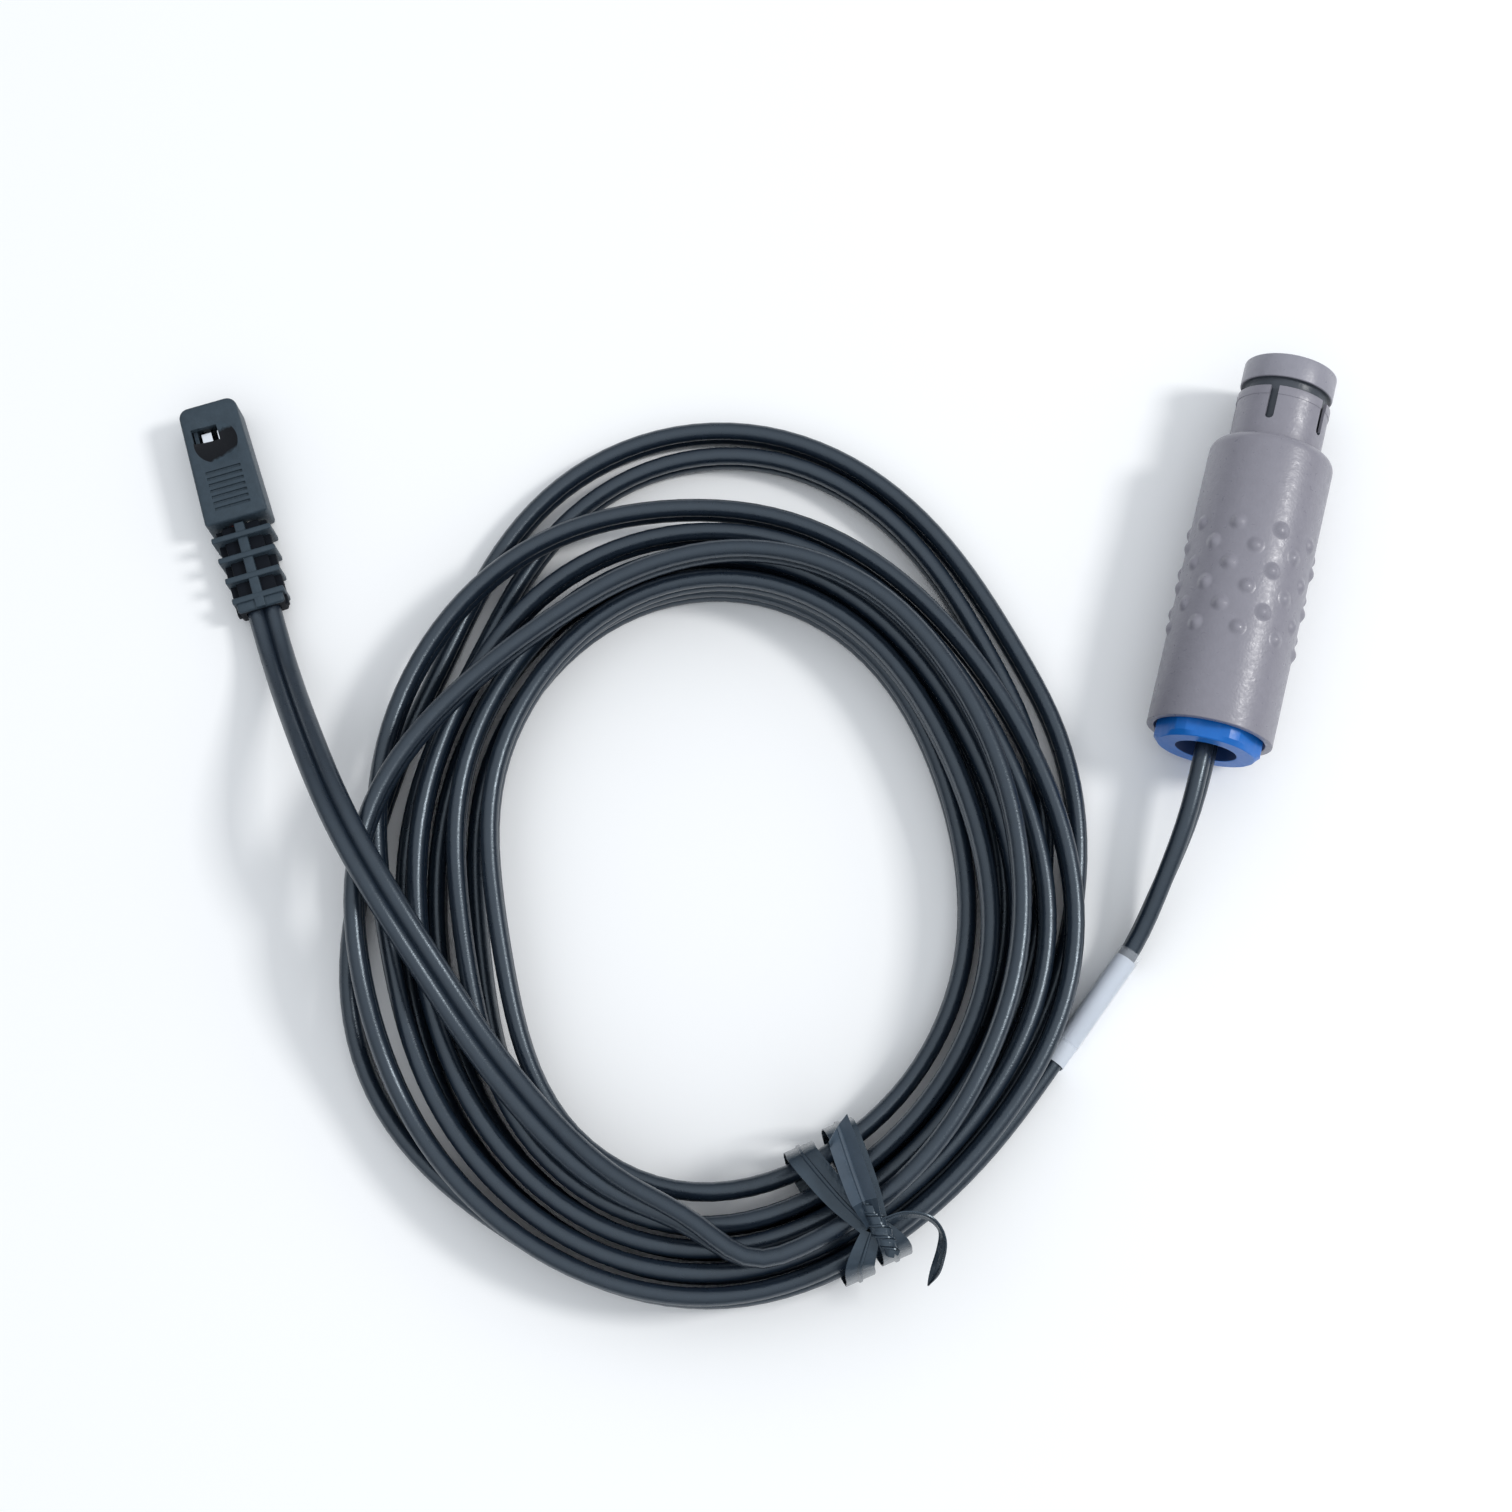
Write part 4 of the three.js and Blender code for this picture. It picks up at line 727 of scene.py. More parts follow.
# %% The shared surface group
def surface_group():
    """Colour, roughness and normal of a moulded surface, from sizes in metres."""
    tree = bpy.data.node_groups.new("moulded surface", "ShaderNodeTree")
    sockets = [
        ("Colour", "NodeSocketColor", (0.5, 0.5, 0.5, 1)),
        ("Drift", "NodeSocketFloat", 0.06),
        ("Drift Size", "NodeSocketFloat", 0.006),
        ("Roughness", "NodeSocketFloat", 0.45),
        ("Gloss Drift", "NodeSocketFloat", 0.1),
        ("Grain Size", "NodeSocketFloat", 0.0003),
        ("Grain Depth", "NodeSocketFloat", 0.00001),
    ]
    for name, kind, value in sockets:
        tree.interface.new_socket(name, in_out="INPUT", socket_type=kind).default_value = value
    tree.interface.new_socket("Colour", in_out="OUTPUT", socket_type="NodeSocketColor")
    tree.interface.new_socket("Roughness", in_out="OUTPUT", socket_type="NodeSocketFloat")
    tree.interface.new_socket("Normal", in_out="OUTPUT", socket_type="NodeSocketVector")
    t = Tree(tree)
    start = t.add("NodeGroupInput").outputs
    place = t.add("ShaderNodeTexCoord").outputs["Object"]
    drift_scale = t.math("DIVIDE", 1.0, start["Drift Size"])
    drift = t.add("ShaderNodeTexNoise", Vector=place, Scale=drift_scale, Detail=4.0, Roughness=0.6)
    centred = t.math("SUBTRACT", drift.outputs[0], 0.5)
    value = t.math("ADD", t.math("MULTIPLY", t.math("MULTIPLY", centred, start["Drift"]), 2.0), 1.0)
    colour = t.add("ShaderNodeVectorMath", {"operation": "SCALE"}, Scale=value)
    t.put(colour.inputs[0], start["Colour"])
    gloss = t.add("ShaderNodeTexNoise", Vector=place, Scale=t.math("MULTIPLY", drift_scale, 1.7), Detail=6.0)
    gloss_shift = t.math("MULTIPLY", t.math("SUBTRACT", gloss.outputs[0], 0.5), start["Gloss Drift"])
    roughness = t.math("ADD", start["Roughness"], t.math("MULTIPLY", gloss_shift, 2.0))
    grain_scale = t.math("DIVIDE", 1.0, start["Grain Size"])
    grain = t.add("ShaderNodeTexNoise", Vector=place, Scale=grain_scale, Detail=2.0)
    bump = t.add("ShaderNodeBump", Height=grain.outputs[0], Distance=start["Grain Depth"])
    end = t.add("NodeGroupOutput")
    t.put(end.inputs["Colour"], colour.outputs[0])
    t.put(end.inputs["Roughness"], roughness)
    t.put(end.inputs["Normal"], bump.outputs[0])
    return tree


moulded_surface = surface_group()
print("nodes in the surface group:", len(moulded_surface.nodes))

# %% [markdown]
# Colours are picked as a screen shows them, and a shader wants them linear, so one function turns them.
# The next one makes a material on the group, and the list after it holds every finish of the lead. Black
# plastic and jacket reflect a slightly blue room, which their tint of the reflection repeats.

# %% Making a material
def from_screen(red, green, blue):
    """The linear colour of a screen colour in 0 to 255."""
    parts = [c / 255 for c in (red, green, blue)]
    return tuple(c / 12.92 if c <= 0.04045 else ((c + 0.055) / 1.055) ** 2.4 for c in parts) + (1,)


def moulded(name, colour, values=(), **constants):
    """A material on the shared surface group. Constants go straight to the shader's sockets."""
    material = bpy.data.materials.new(name)
    material.use_nodes = True
    t = Tree(material.node_tree)
    shader = material.node_tree.nodes["Principled BSDF"]
    group = t.add("ShaderNodeGroup", {"node_tree": moulded_surface})
    group.inputs["Colour"].default_value = from_screen(*colour)
    for key, value in dict(values).items():
        group.inputs[key].default_value = value
    t.put(shader.inputs["Base Color"], group.outputs["Colour"])
    t.put(shader.inputs["Roughness"], group.outputs["Roughness"])
    t.put(shader.inputs["Normal"], group.outputs["Normal"])
    for key, value in constants.items():
        shader.inputs[key.replace("_", " ")].default_value = value
    return material


print("black as a screen's 20 is linear:", round(from_screen(20, 20, 20)[0], 4))

# %% The materials
GREY_FINISH = {
    "Roughness": 0.36,
    "Gloss Drift": 0.26,
    "Drift": 0.09,
    "Drift Size": 0.0013,
    "Grain Size": 0.0004,
    "Grain Depth": 0.00003,
}
BLACK_FINISH = {
    "Roughness": 0.5,
    "Gloss Drift": 0.2,
    "Drift": 0.3,
    "Drift Size": 0.0009,
    "Grain Size": 0.00028,
    "Grain Depth": 0.00004,
}
CORD_FINISH = {
    "Roughness": 0.31,
    "Gloss Drift": 0.12,
    "Drift": 0.3,
    "Drift Size": 0.0012,
    "Grain Size": 0.0002,
    "Grain Depth": 0.00002,
}
TIE_FINISH = {
    "Roughness": 0.25,
    "Drift": 0.3,
    "Drift Size": 0.002,
    "Grain Size": 0.0006,
    "Grain Depth": 0.00005,
}
BLUE_FINISH = {"Roughness": 0.36, "Drift": 0.1, "Drift Size": 0.001, "Grain Depth": 0.00001}
PAPER_FINISH = {"Roughness": 0.6, "Grain Size": 0.00012, "Grain Depth": 0.00001}
COOL_TINT = (0.8, 0.92, 1.0, 1)
JACKET_TINT = (0.78, 0.9, 1.0, 1)

grey_plastic = moulded("grey_plastic", (136, 134, 144), GREY_FINISH, Specular_IOR_Level=0.6)
blue_plastic = moulded("blue_plastic", (14, 107, 195), BLUE_FINISH, Specular_IOR_Level=0.4)
cord_jacket = moulded(
    "cord_jacket", (21, 31, 43), CORD_FINISH, Specular_IOR_Level=0.9, Specular_Tint=JACKET_TINT
)
black_plastic = moulded("black_plastic", (46, 58, 68), BLACK_FINISH, Specular_Tint=COOL_TINT)
tie_plastic = moulded("tie_plastic", (48, 59, 70), TIE_FINISH, Specular_Tint=COOL_TINT)
seal_rubber = moulded("seal_rubber", (30, 32, 35), {"Roughness": 0.7, "Grain Depth": 0.00002})
insulator = moulded("insulator", (214, 210, 200), {"Roughness": 0.45})
label_paper = moulded("label_paper", (206, 213, 223), PAPER_FINISH)
red_core = moulded("red_core", (156, 47, 42), {"Roughness": 0.5})
white_core = moulded("white_core", (226, 226, 220), {"Roughness": 0.5})
pin_metal = moulded("pin_metal", (214, 172, 92), {"Roughness": 0.24, "Grain Depth": 0.000004}, Metallic=1.0)
clip_metal = moulded("clip_metal", (226, 230, 236), {"Roughness": 0.3, "Grain Depth": 0.000006}, Metallic=1.0)
clear_sleeve = moulded(
    "clear_sleeve", (225, 230, 238), {"Roughness": 0.16, "Grain Depth": 0.00001}, Alpha=0.16, Coat_Weight=0.6
)
print("materials:", len(bpy.data.materials))

# %% [markdown]
# With a material at hand, the tree can run. The sizes below are the only ones that it needs.

# %% Grip bumps in place
BUMP_RINGS, BUMPS_PER_RING, BUMP_PITCH = 6, 9, 2.75
FIRST_BUMP, BUMP_PHASE = 12.8, -24  # mm from the sleeve's front, and degrees round from the top
bump_values = {
    "Rings": BUMP_RINGS,
    "Per Ring": BUMPS_PER_RING,
    "Pitch": BUMP_PITCH * MM,
    "First": (SHELL_FRONT - FIRST_BUMP) * MM,
    "Phase": math.radians(BUMP_PHASE),
    "Axis Height": AXIS_HEIGHT * MM,
    "Material": grey_plastic,
}
run_tree(grip_bumps, bump_rings, bump_values, 80)
print("grip bump faces:", len(grip_bumps.data.polygons))

# %% [markdown]
# ## The clamping nut
# The blue nut is a hexagon with rounded corners and a conical mouth. Its outline is not round, so a plain
# lathe can't make it, but a lathe whose radius depends on the angle can: each ring of its profile is
# either round or six-sided. That keeps the flats truly flat and the mouth truly round, with no boolean
# seams between them.

# %% Nut
NUT_CORNER, NUT_FLAT, NUT_FRONT = 6.75, 6.2, -17.45
NUT_MOUTH, NUT_HOLE, NUT_END_WALL, NUT_BORE = 3.9, 2.9, 3.3, 5.4
NUT_TURN, NUT_CHAMFER, NUT_FLARE = 20, 0.5, 0.4


def hexagon_radius(angle, flat, corner):
    """Distance to the edge of a hexagon with its corners cut round."""
    off = (angle - math.radians(NUT_TURN)) % (math.pi / 3) - math.pi / 6
    return min(corner, flat / math.cos(off))


def nut_ring(angle):
    """The nut's profile at one angle, as (radius, station) points."""
    outer = hexagon_radius(angle, NUT_FLAT, NUT_CORNER)
    edge = min(outer, NUT_CORNER - NUT_CHAMFER)
    soft = 0.12
    floor_of_mouth = NUT_END + NUT_END_WALL
    return [
        (NUT_MOUTH, NUT_END + soft / 2),
        (NUT_MOUTH + soft, NUT_END),
        (edge - soft, NUT_END),
        (edge, NUT_END + soft),
        (outer, NUT_END + NUT_CHAMFER + soft),
        (outer, NUT_FRONT),
        (NUT_BORE, NUT_FRONT),
        (NUT_BORE, floor_of_mouth),
        (NUT_HOLE, floor_of_mouth),
        (NUT_HOLE + NUT_FLARE, floor_of_mouth - NUT_END_WALL / 5),
    ]


def clamping_nut_mesh(sides=180):
    """The nut as rings of points round the connector's axis."""
    points = []
    for side in range(sides):
        angle = 2 * math.pi * side / sides
        for radius, station in nut_ring(angle):
            points.append((radius * math.sin(angle), station, AXIS_HEIGHT + radius * math.cos(angle)))
    return mesh_object("clamping_nut", points, tube_faces(sides, len(nut_ring(0)), closed=True), 14)


clamping_nut = clamping_nut_mesh()
print("nut faces:", len(clamping_nut.data.polygons))

# %% [markdown]
# ## Contact pins
# Two gold pins stand in the nose's mouth. They are small turned rods with rounded tips.

# %% Pins
PIN_RADIUS, PIN_SPACING, PIN_REAR, PIN_TIP = 0.65, 3.2, 6.2, 21.2
pins = []
for side in (-1, 1):
    pin_profile = [(0, PIN_REAR), (PIN_RADIUS, PIN_REAR), (PIN_RADIUS, PIN_TIP - PIN_RADIUS)]
    for k in range(1, 7):
        angle = math.pi / 2 * k / 6
        pin_profile.append((PIN_RADIUS * math.cos(angle), PIN_TIP - PIN_RADIUS * (1 - math.sin(angle))))
    pin = rod("pin_left" if side < 0 else "pin_right", pin_profile)
    pin.data.transform(Matrix.Translation(Vector((side * PIN_SPACING / 2, 0, AXIS_HEIGHT)) * MM))
    pins.append(pin)
print("pins:", len(pins))

# %% [markdown]
# ## The label
# A white slip is wrapped round the cord just before the coil and held by a clear sleeve. Both follow the
# cord's flat section with a small clearance, so they are hollow tubes swept along the same straight
# stretch.

# %% A tube along the straight cord
def stadium(wide, thin, per_end=8):
    """The outline of a flat section with round edges, as (wide, thin) points."""
    half = (wide - thin) / 2
    outline = []
    for end in (0, 1):
        for k in range(per_end + 1):
            angle = math.pi * (end + k / per_end) - math.pi / 2
            centre = -half if end else half
            outline.append((centre + thin / 2 * math.cos(angle), thin / 2 * math.sin(angle)))
    return outline


def wrap_tube(name, clearance, wall, start, end):
    """A hollow tube round the straight stretch of cord before the coil, between two distances from it."""
    outer = stadium(CORD_WIDTH + 2 * (clearance + wall), CORD_THICKNESS + 2 * (clearance + wall))
    inner = stadium(CORD_WIDTH + 2 * clearance, CORD_THICKNESS + 2 * clearance)
    sides, rings = len(outer), 12
    wide, thin = level_frame(into_coil, 0)
    points, faces = [], []
    for section in (outer, inner):
        for ring in range(rings + 1):
            centre = coil_first - into_coil * (start + (end - start) * ring / rings)
            points += [centre + wide * u + thin * v for u, v in section]
    skin = (rings + 1) * sides
    for side in range(sides):
        beside = (side + 1) % sides
        for layer in (0, skin):
            for ring in range(rings):
                a, b = layer + ring * sides + side, layer + ring * sides + beside
                faces.append((a, b, b + sides, a + sides))
        for edge in (0, rings * sides):
            a, b = edge + side, edge + beside
            faces.append((a, b, b + skin, a + skin))
    return mesh_object(name, points, faces, 40)


print("points round the label:", len(stadium(CORD_WIDTH, CORD_THICKNESS)))

# %% Slip and sleeve
FILM = 0.12  # thickness of the paper and of the clear sleeve
LABEL_CLEARANCE, COVER_CLEARANCE = 0.12, 0.3
LABEL_FROM, LABEL_LENGTH = 5.5, 16.0  # from the coil, and along the cord
COVER_INSET, COVER_OVERHANG = 3.0, 1.1
label_to = LABEL_FROM + LABEL_LENGTH
label = wrap_tube("label", LABEL_CLEARANCE, FILM, LABEL_FROM, label_to)
cover_from, cover_to = LABEL_FROM + COVER_INSET, label_to + COVER_OVERHANG
label_cover = wrap_tube("label_cover", COVER_CLEARANCE, FILM, cover_from, cover_to)
print("label faces:", len(label.data.polygons) + len(label_cover.data.polygons))

# %% [markdown]
# ## The flat plug
# The plug's body is a moulded block with a pocket for the contacts, a round thumb dish, a window through
# to the far side and seven grip grooves. It starts as a rounded outline with some thickness, and each
# feature is cut out of it in the order a mould maker would add the cores.

# %% The plug's block
PLUG_LENGTH, PLUG_REAR_WIDTH, PLUG_NOSE_WIDTH, PLUG_WALL = 16.6, 8.4, 7.7, 0.9
PLUG_EDGE = 0.45


def plug_outline(corner=1.3, steps=6):
    """The plug's outline from above, in its own frame, with rounded nose corners."""
    rear, front = PLUG_REAR_WIDTH / 2, PLUG_NOSE_WIDTH / 2
    outline = [(-rear, 0), (rear, 0)]
    for side in (1, -1):
        for k in range(steps + 1):
            angle = math.pi / 2 * (k if side > 0 else steps - k) / steps
            x = side * (front - corner + corner * math.cos(angle))
            outline.append((x, PLUG_LENGTH - corner + corner * math.sin(angle)))
    return outline


def in_plug_place(thing):
    """Moves a piece from the plug's own frame to where the plug lies."""
    thing.data.transform(Matrix.Translation(PLUG_PLACE * MM) @ Matrix.Rotation(PLUG_TURN, 4, "Z"))
    return thing


plug_shape = plug_outline()
plug_points = [(x, y, z) for z in (0, PLUG_THICKNESS) for x, y in plug_shape]
plug_body = mesh_object("plug_body", plug_points, tube_faces(2, len(plug_shape)))
softened = plug_body.modifiers.new("soft edges", "BEVEL")
softened.width, softened.segments, softened.limit_method = PLUG_EDGE * MM, 3, "ANGLE"
settle(plug_body)
print("faces of the plug's block:", len(plug_body.data.polygons))

# %% What is cut out of the plug
POCKET_DEPTH, DISH_AT, DISH_RADIUS, DISH_DEPTH = 13.2, 11.0, 2.9, 0.6
WINDOW_AT, WINDOW_LENGTH, WINDOW_WIDTH, WINDOW_OFF = 12.4, 2.0, 3.4, -1.1
GRIP_GROOVES, GRIP_PITCH, GRIP_FIRST = 7, 0.85, 1.9
GRIP_WIDTH, GRIP_CUT, GRIP_DEPTH = 4.7, 0.42, 0.3
middle = PLUG_THICKNESS / 2


def dish_ball():
    """A ball that cuts the thumb dish, as wide and deep as the dish where it dips into the plug."""
    radius = (DISH_RADIUS**2 + DISH_DEPTH**2) / (2 * DISH_DEPTH)
    angles = [math.pi * k / 48 for k in range(49)]
    ball = rod("dish", [(radius * math.sin(angle), -radius * math.cos(angle)) for angle in angles], 64)
    ball.data.transform(Matrix.Rotation(math.pi / 2, 4, "X"))
    place = Vector((0, DISH_AT, PLUG_THICKNESS - DISH_DEPTH + radius))
    ball.data.transform(Matrix.Translation(place * MM))
    return ball


pocket_size = (PLUG_NOSE_WIDTH - 2 * PLUG_WALL, POCKET_DEPTH + 1, PLUG_THICKNESS - 2 * PLUG_WALL)
pocket = block("pocket", pocket_size, (0, PLUG_LENGTH - POCKET_DEPTH / 2 + 0.5, middle), 0.15)
window_size = (WINDOW_WIDTH, WINDOW_LENGTH, PLUG_THICKNESS + 2)
window = block("window", window_size, (WINDOW_OFF, WINDOW_AT, middle), 0.1)
groove_size = (GRIP_WIDTH, GRIP_CUT, 2 * GRIP_DEPTH)
groove_stations = [GRIP_FIRST + GRIP_PITCH * i for i in range(GRIP_GROOVES)]
grooves = [block("groove", groove_size, (0, y, PLUG_THICKNESS), 0.08) for y in groove_stations]
combine(plug_body, [dish_ball(), pocket, window] + grooves)
in_plug_place(plug_body)
print("plug body faces:", len(plug_body.data.polygons))

# %% [markdown]
# ## Strain relief
# Behind the plug's body a rubber-like neck with four thin ribs keeps the cord from kinking. The ribs are
# one shape at an even pitch that gets smaller, so Geometry Nodes repeat and scale a single softened
# plate.

# %% The ribs' tree
def rib_tree():
    """Repeats a plate along its own y axis, scaled from the first size to the last."""
    tree = bpy.data.node_groups.new("relief ribs", "GeometryNodeTree")
    sockets = [("Count", "NodeSocketInt", 4), ("Pitch", "NodeSocketFloat", 0.003)]
    sockets += [("First", "NodeSocketFloat", 0.002), ("Height", "NodeSocketFloat", 0.00275)]
    sockets += [("Last Width", "NodeSocketFloat", 0.9), ("Last Height", "NodeSocketFloat", 0.9)]
    tree_inputs(tree, sockets + [("Material", "NodeSocketMaterial", None)])
    t = Tree(tree)
    start = t.add("NodeGroupInput").outputs
    index = t.add("GeometryNodeInputIndex").outputs[0]
    part = t.math("DIVIDE", index, t.math("SUBTRACT", start["Count"], 1.0))
    run = t.math("ADD", start["First"], t.math("MULTIPLY", index, start["Pitch"]))
    position = t.add("ShaderNodeCombineXYZ", Y=t.math("MULTIPLY", run, -1.0), Z=start["Height"]).outputs[0]
    points = t.add("GeometryNodePoints", Count=start["Count"], Position=position).outputs[0]
    narrower = t.math("MULTIPLY", part, t.math("SUBTRACT", start["Last Width"], 1.0))
    lower = t.math("MULTIPLY", part, t.math("SUBTRACT", start["Last Height"], 1.0))
    size = t.add("ShaderNodeCombineXYZ", X=t.math("ADD", narrower, 1.0), Y=1.0, Z=t.math("ADD", lower, 1.0))
    scale = size.outputs[0]
    copies = t.add("GeometryNodeInstanceOnPoints", Points=points, Instance=start["Geometry"], Scale=scale)
    real = t.add("GeometryNodeRealizeInstances", Geometry=copies.outputs[0]).outputs[0]
    painted = t.add("GeometryNodeSetMaterial", Geometry=real, Material=start["Material"]).outputs[0]
    t.add("NodeGroupOutput", Geometry=painted)
    return tree


even_ribs = rib_tree()
print("nodes in the ribs' tree:", len(even_ribs.nodes))

# %% Ribs
RIB_PITCH, RIB_FIRST, RIB_THICKNESS, RELIEF_RIBS = 2.85, 2.1, 0.8, 4
RELIEF_WIDTH, RELIEF_HEIGHT = (7.9, 6.9), (5.6, 4.8)  # of the first rib and of the last
relief_ribs = block("relief_ribs", (RELIEF_WIDTH[0], RIB_THICKNESS, RELIEF_HEIGHT[0]), (0, 0, 0), 0.22)
rib_values = {
    "Count": RELIEF_RIBS,
    "Pitch": RIB_PITCH * MM,
    "First": RIB_FIRST * MM,
    "Height": middle * MM,
    "Last Width": RELIEF_WIDTH[1] / RELIEF_WIDTH[0],
    "Last Height": RELIEF_HEIGHT[1] / RELIEF_HEIGHT[0],
    "Material": black_plastic,
}
run_tree(relief_ribs, even_ribs, rib_values)
in_plug_place(relief_ribs)
print("rib faces:", len(relief_ribs.data.polygons))

# %% Neck, spine and end block
RELIEF_FRONT, RELIEF_REAR = -0.3, -0.3 - RELIEF_LENGTH
NECK_WIDE, NECK_HIGH = 5.0, 3.0
SPINE_WIDE, SPINE_HIGH = 1.3, 4.7
WING_WIDE, WING_HIGH = 6.8, 1.3
END_WIDE, END_HIGH = 6.2, 4.1
last_rib = -RIB_FIRST - RIB_PITCH * (RELIEF_RIBS - 1)
relief_middle = (RELIEF_FRONT + RELIEF_REAR) / 2
relief_neck = block("relief_neck", (NECK_WIDE, RELIEF_LENGTH, NECK_HIGH), (0, relief_middle, middle), 0.3)
end_size = (END_WIDE, last_rib - RELIEF_REAR, END_HIGH)
spines = [
    block("spine", (SPINE_WIDE, RELIEF_LENGTH - 0.1, SPINE_HIGH), (0, relief_middle, middle), 0.15),
    block("wing", (WING_WIDE, RELIEF_LENGTH - 0.12, WING_HIGH), (0, relief_middle, middle), 0.15),
    block("end", end_size, (0, (last_rib + RELIEF_REAR) / 2, middle), 0.4),
]
combine(relief_neck, spines, "UNION")
cord_seat = block("seat", (CORD_WIDTH + 0.1, 5, CORD_THICKNESS + 0.1), (0, RELIEF_REAR, middle), 0.6)
combine(relief_neck, [cord_seat])
in_plug_place(relief_neck)
print("neck faces:", len(relief_neck.data.polygons))

# %% [markdown]
# ## The twist tie
# A black plastic ribbon with a wire down its middle goes round the bundle twice, is twisted into a knot
# on top, and leaves two ends: a flat one that stands up towards the coil's middle, and a curled one. Each
# run is a ribbon section carried along listed points, with its flat side turned to face away from the
# bundle.

# %% Ribbon helper
TIE_RIBBON = 3.7
TIE_ANGLE = math.radians(TIE_AT - COIL_TURN)
TIE_X = Vector((math.sin(TIE_ANGLE), math.cos(TIE_ANGLE), 0))
TIE_Y = Vector((math.cos(TIE_ANGLE), -math.sin(TIE_ANGLE), 0)) * -1


def tie_point(x, y, z):
    """A point in the tie's frame, x out across the bundle and y along it, in the row frame."""
    return Vector((COIL_CENTRE.x, COIL_CENTRE.y, 0)) + TIE_X * x + TIE_Y * y + Vector((0, 0, z))


def ribbon_section(width, fold):
    """A film with a wire ridge down its middle and its halves folded up, as (across, out) points."""
    film, ridge = 0.08, 0.3  # half the film's thickness, and the ridge's height
    half = [(0.04, ridge), (0.08, film), (0.25, film), (0.5, film)]
    upper = [(-u, v) for u, v in reversed(half)] + half
    outline = [(u * width, v + fold * abs(u) * 2) for u, v in upper]
    return outline + [(u * width, fold * abs(u) * 2 - film) for u, _ in reversed(upper)]


def ribbon(name, places, facing, width=TIE_RIBBON, fold=0.0, widths=None, per_span=8):
    """A ribbon through the places, with its flat side turned to the facing directions."""
    line = catmull_rom([tie_point(*place) for place in places], per_span)
    facings = catmull_rom([TIE_X * x + TIE_Y * y + Vector((0, 0, z)) for x, y, z in facing], per_span)
    widths = widths or [1] * len(places)
    shares = catmull_rom([Vector((share, i, 0)) for i, share in enumerate(widths)], per_span)
    rings = []
    for i, centre in enumerate(line):
        before, after = line[max(i - 1, 0)], line[min(i + 1, len(line) - 1)]
        tangent = (after - before).normalized()
        out = (facings[i] - tangent * facings[i].dot(tangent)).normalized()
        across = tangent.cross(out)
        rings += [centre + across * u + out * v for u, v in ribbon_section(width * shares[i].x, fold)]
    sides = len(ribbon_section(width, fold))
    return mesh_object(name, rings, tube_faces(len(line), sides), 30)


print("points round the ribbon:", len(ribbon_section(TIE_RIBBON, 0)))

# %% [markdown]
# The wraps have to follow the bundle, so they ask the coil's formula how far in, out and up the cord
# reaches under them. All the ribbon's own places are then counted from the bundle's edges and from the
# knot.

# %% The bundle's room
TIE_REACH = 43
ROOM_ACROSS, ROOM_UPRIGHT = 0.7, 0.4  # between the cord's edge and the ribbon
WRAPS_AT = (-3.4, 1.6)
KNOT_SHARE = 0.75  # of the bundle's width, where the knot lies on it


def tie_span(along):
    """Inner, outer and top edge of the bundle under a ribbon so far along the cord from the tie's middle."""
    reaches, heights = [], []
    for edge in (along - TIE_RIBBON / 2, along + TIE_RIBBON / 2):
        turned = math.asin(-edge / TIE_REACH)
        turns = (TIE_AT + math.degrees(turned) - COIL_START) / 360
        while turns <= COIL_TURNS:
            _, radius, height = coil_station(turns)
            reaches.append(radius * math.cos(turned))
            heights.append(height)
            turns += 1
    across, upright = CORD_THICKNESS / 2 + ROOM_ACROSS, CORD_WIDTH / 2 + ROOM_UPRIGHT
    return min(reaches) - across, max(reaches) + across, max(heights) + upright


tie_inner, tie_outer, tie_top = tie_span(0)
knot_x = tie_inner + KNOT_SHARE * (tie_outer - tie_inner)
print("bundle at the tie, mm:", round(tie_outer - tie_inner, 1), "wide and", round(tie_top, 1), "high")

# %% The two wraps
TIE_LOW, CORNER_LIFT = 0.45, 0.4  # height of the ribbon under the bundle, and how much its corners rise


def wrap(name, along, inner_shift, knot_y):
    """One turn of ribbon round the bundle, drawn together at the knot."""
    inner, outer, top = tie_span(along)
    inner_y = along + inner_shift
    places = [
        (knot_x - 0.3, knot_y, top + 0.9),
        (knot_x - 5.0, 0.5 * inner_y + 0.5 * knot_y, top + 0.5),
        (inner + 1.3, inner_y, top),
        (inner, inner_y, top - 3.0),
        (inner, inner_y, TIE_LOW + 3.5),
        (inner + 1.5, inner_y, TIE_LOW + CORNER_LIFT),
        ((inner + outer) / 2, along, TIE_LOW),
        (outer - 1.5, along, TIE_LOW + CORNER_LIFT),
        (outer, along, TIE_LOW + 3.5),
        (outer, along, top - 3.4),
        (outer - 1.2, along * 0.9 + knot_y * 0.1, top - 0.1),
        (knot_x + 0.3, knot_y, top + 0.9),
    ]
    facing = [(0, 0, 1), (0, 0, 1), (-0.6, 0, 0.8), (-1, 0, 0), (-1, 0, 0), (-0.7, 0, -0.7), (0, 0, -1)]
    facing += [(0.7, 0, -0.7), (1, 0, 0), (1, 0, 0), (0.6, 0, 0.8), (0, 0, 1)]
    widths = [0.6, 0.9] + [1] * 8 + [0.95, 0.6]
    return ribbon(name, places, facing, widths=widths)


tie_pieces = [wrap("tie_wrap", WRAPS_AT[0], -0.8, -0.5), wrap("tie_wrap", WRAPS_AT[1], -0.4, 0.8)]
print("faces of the wraps:", sum(len(piece.data.polygons) for piece in tie_pieces))

# %% The knot
KNOT_TURNS, KNOT_LENGTH, KNOT_HEIGHT, KNOT_RIBBON = 2.1, 6.2, 1.35, 2.1
KNOT_STEPS = 14


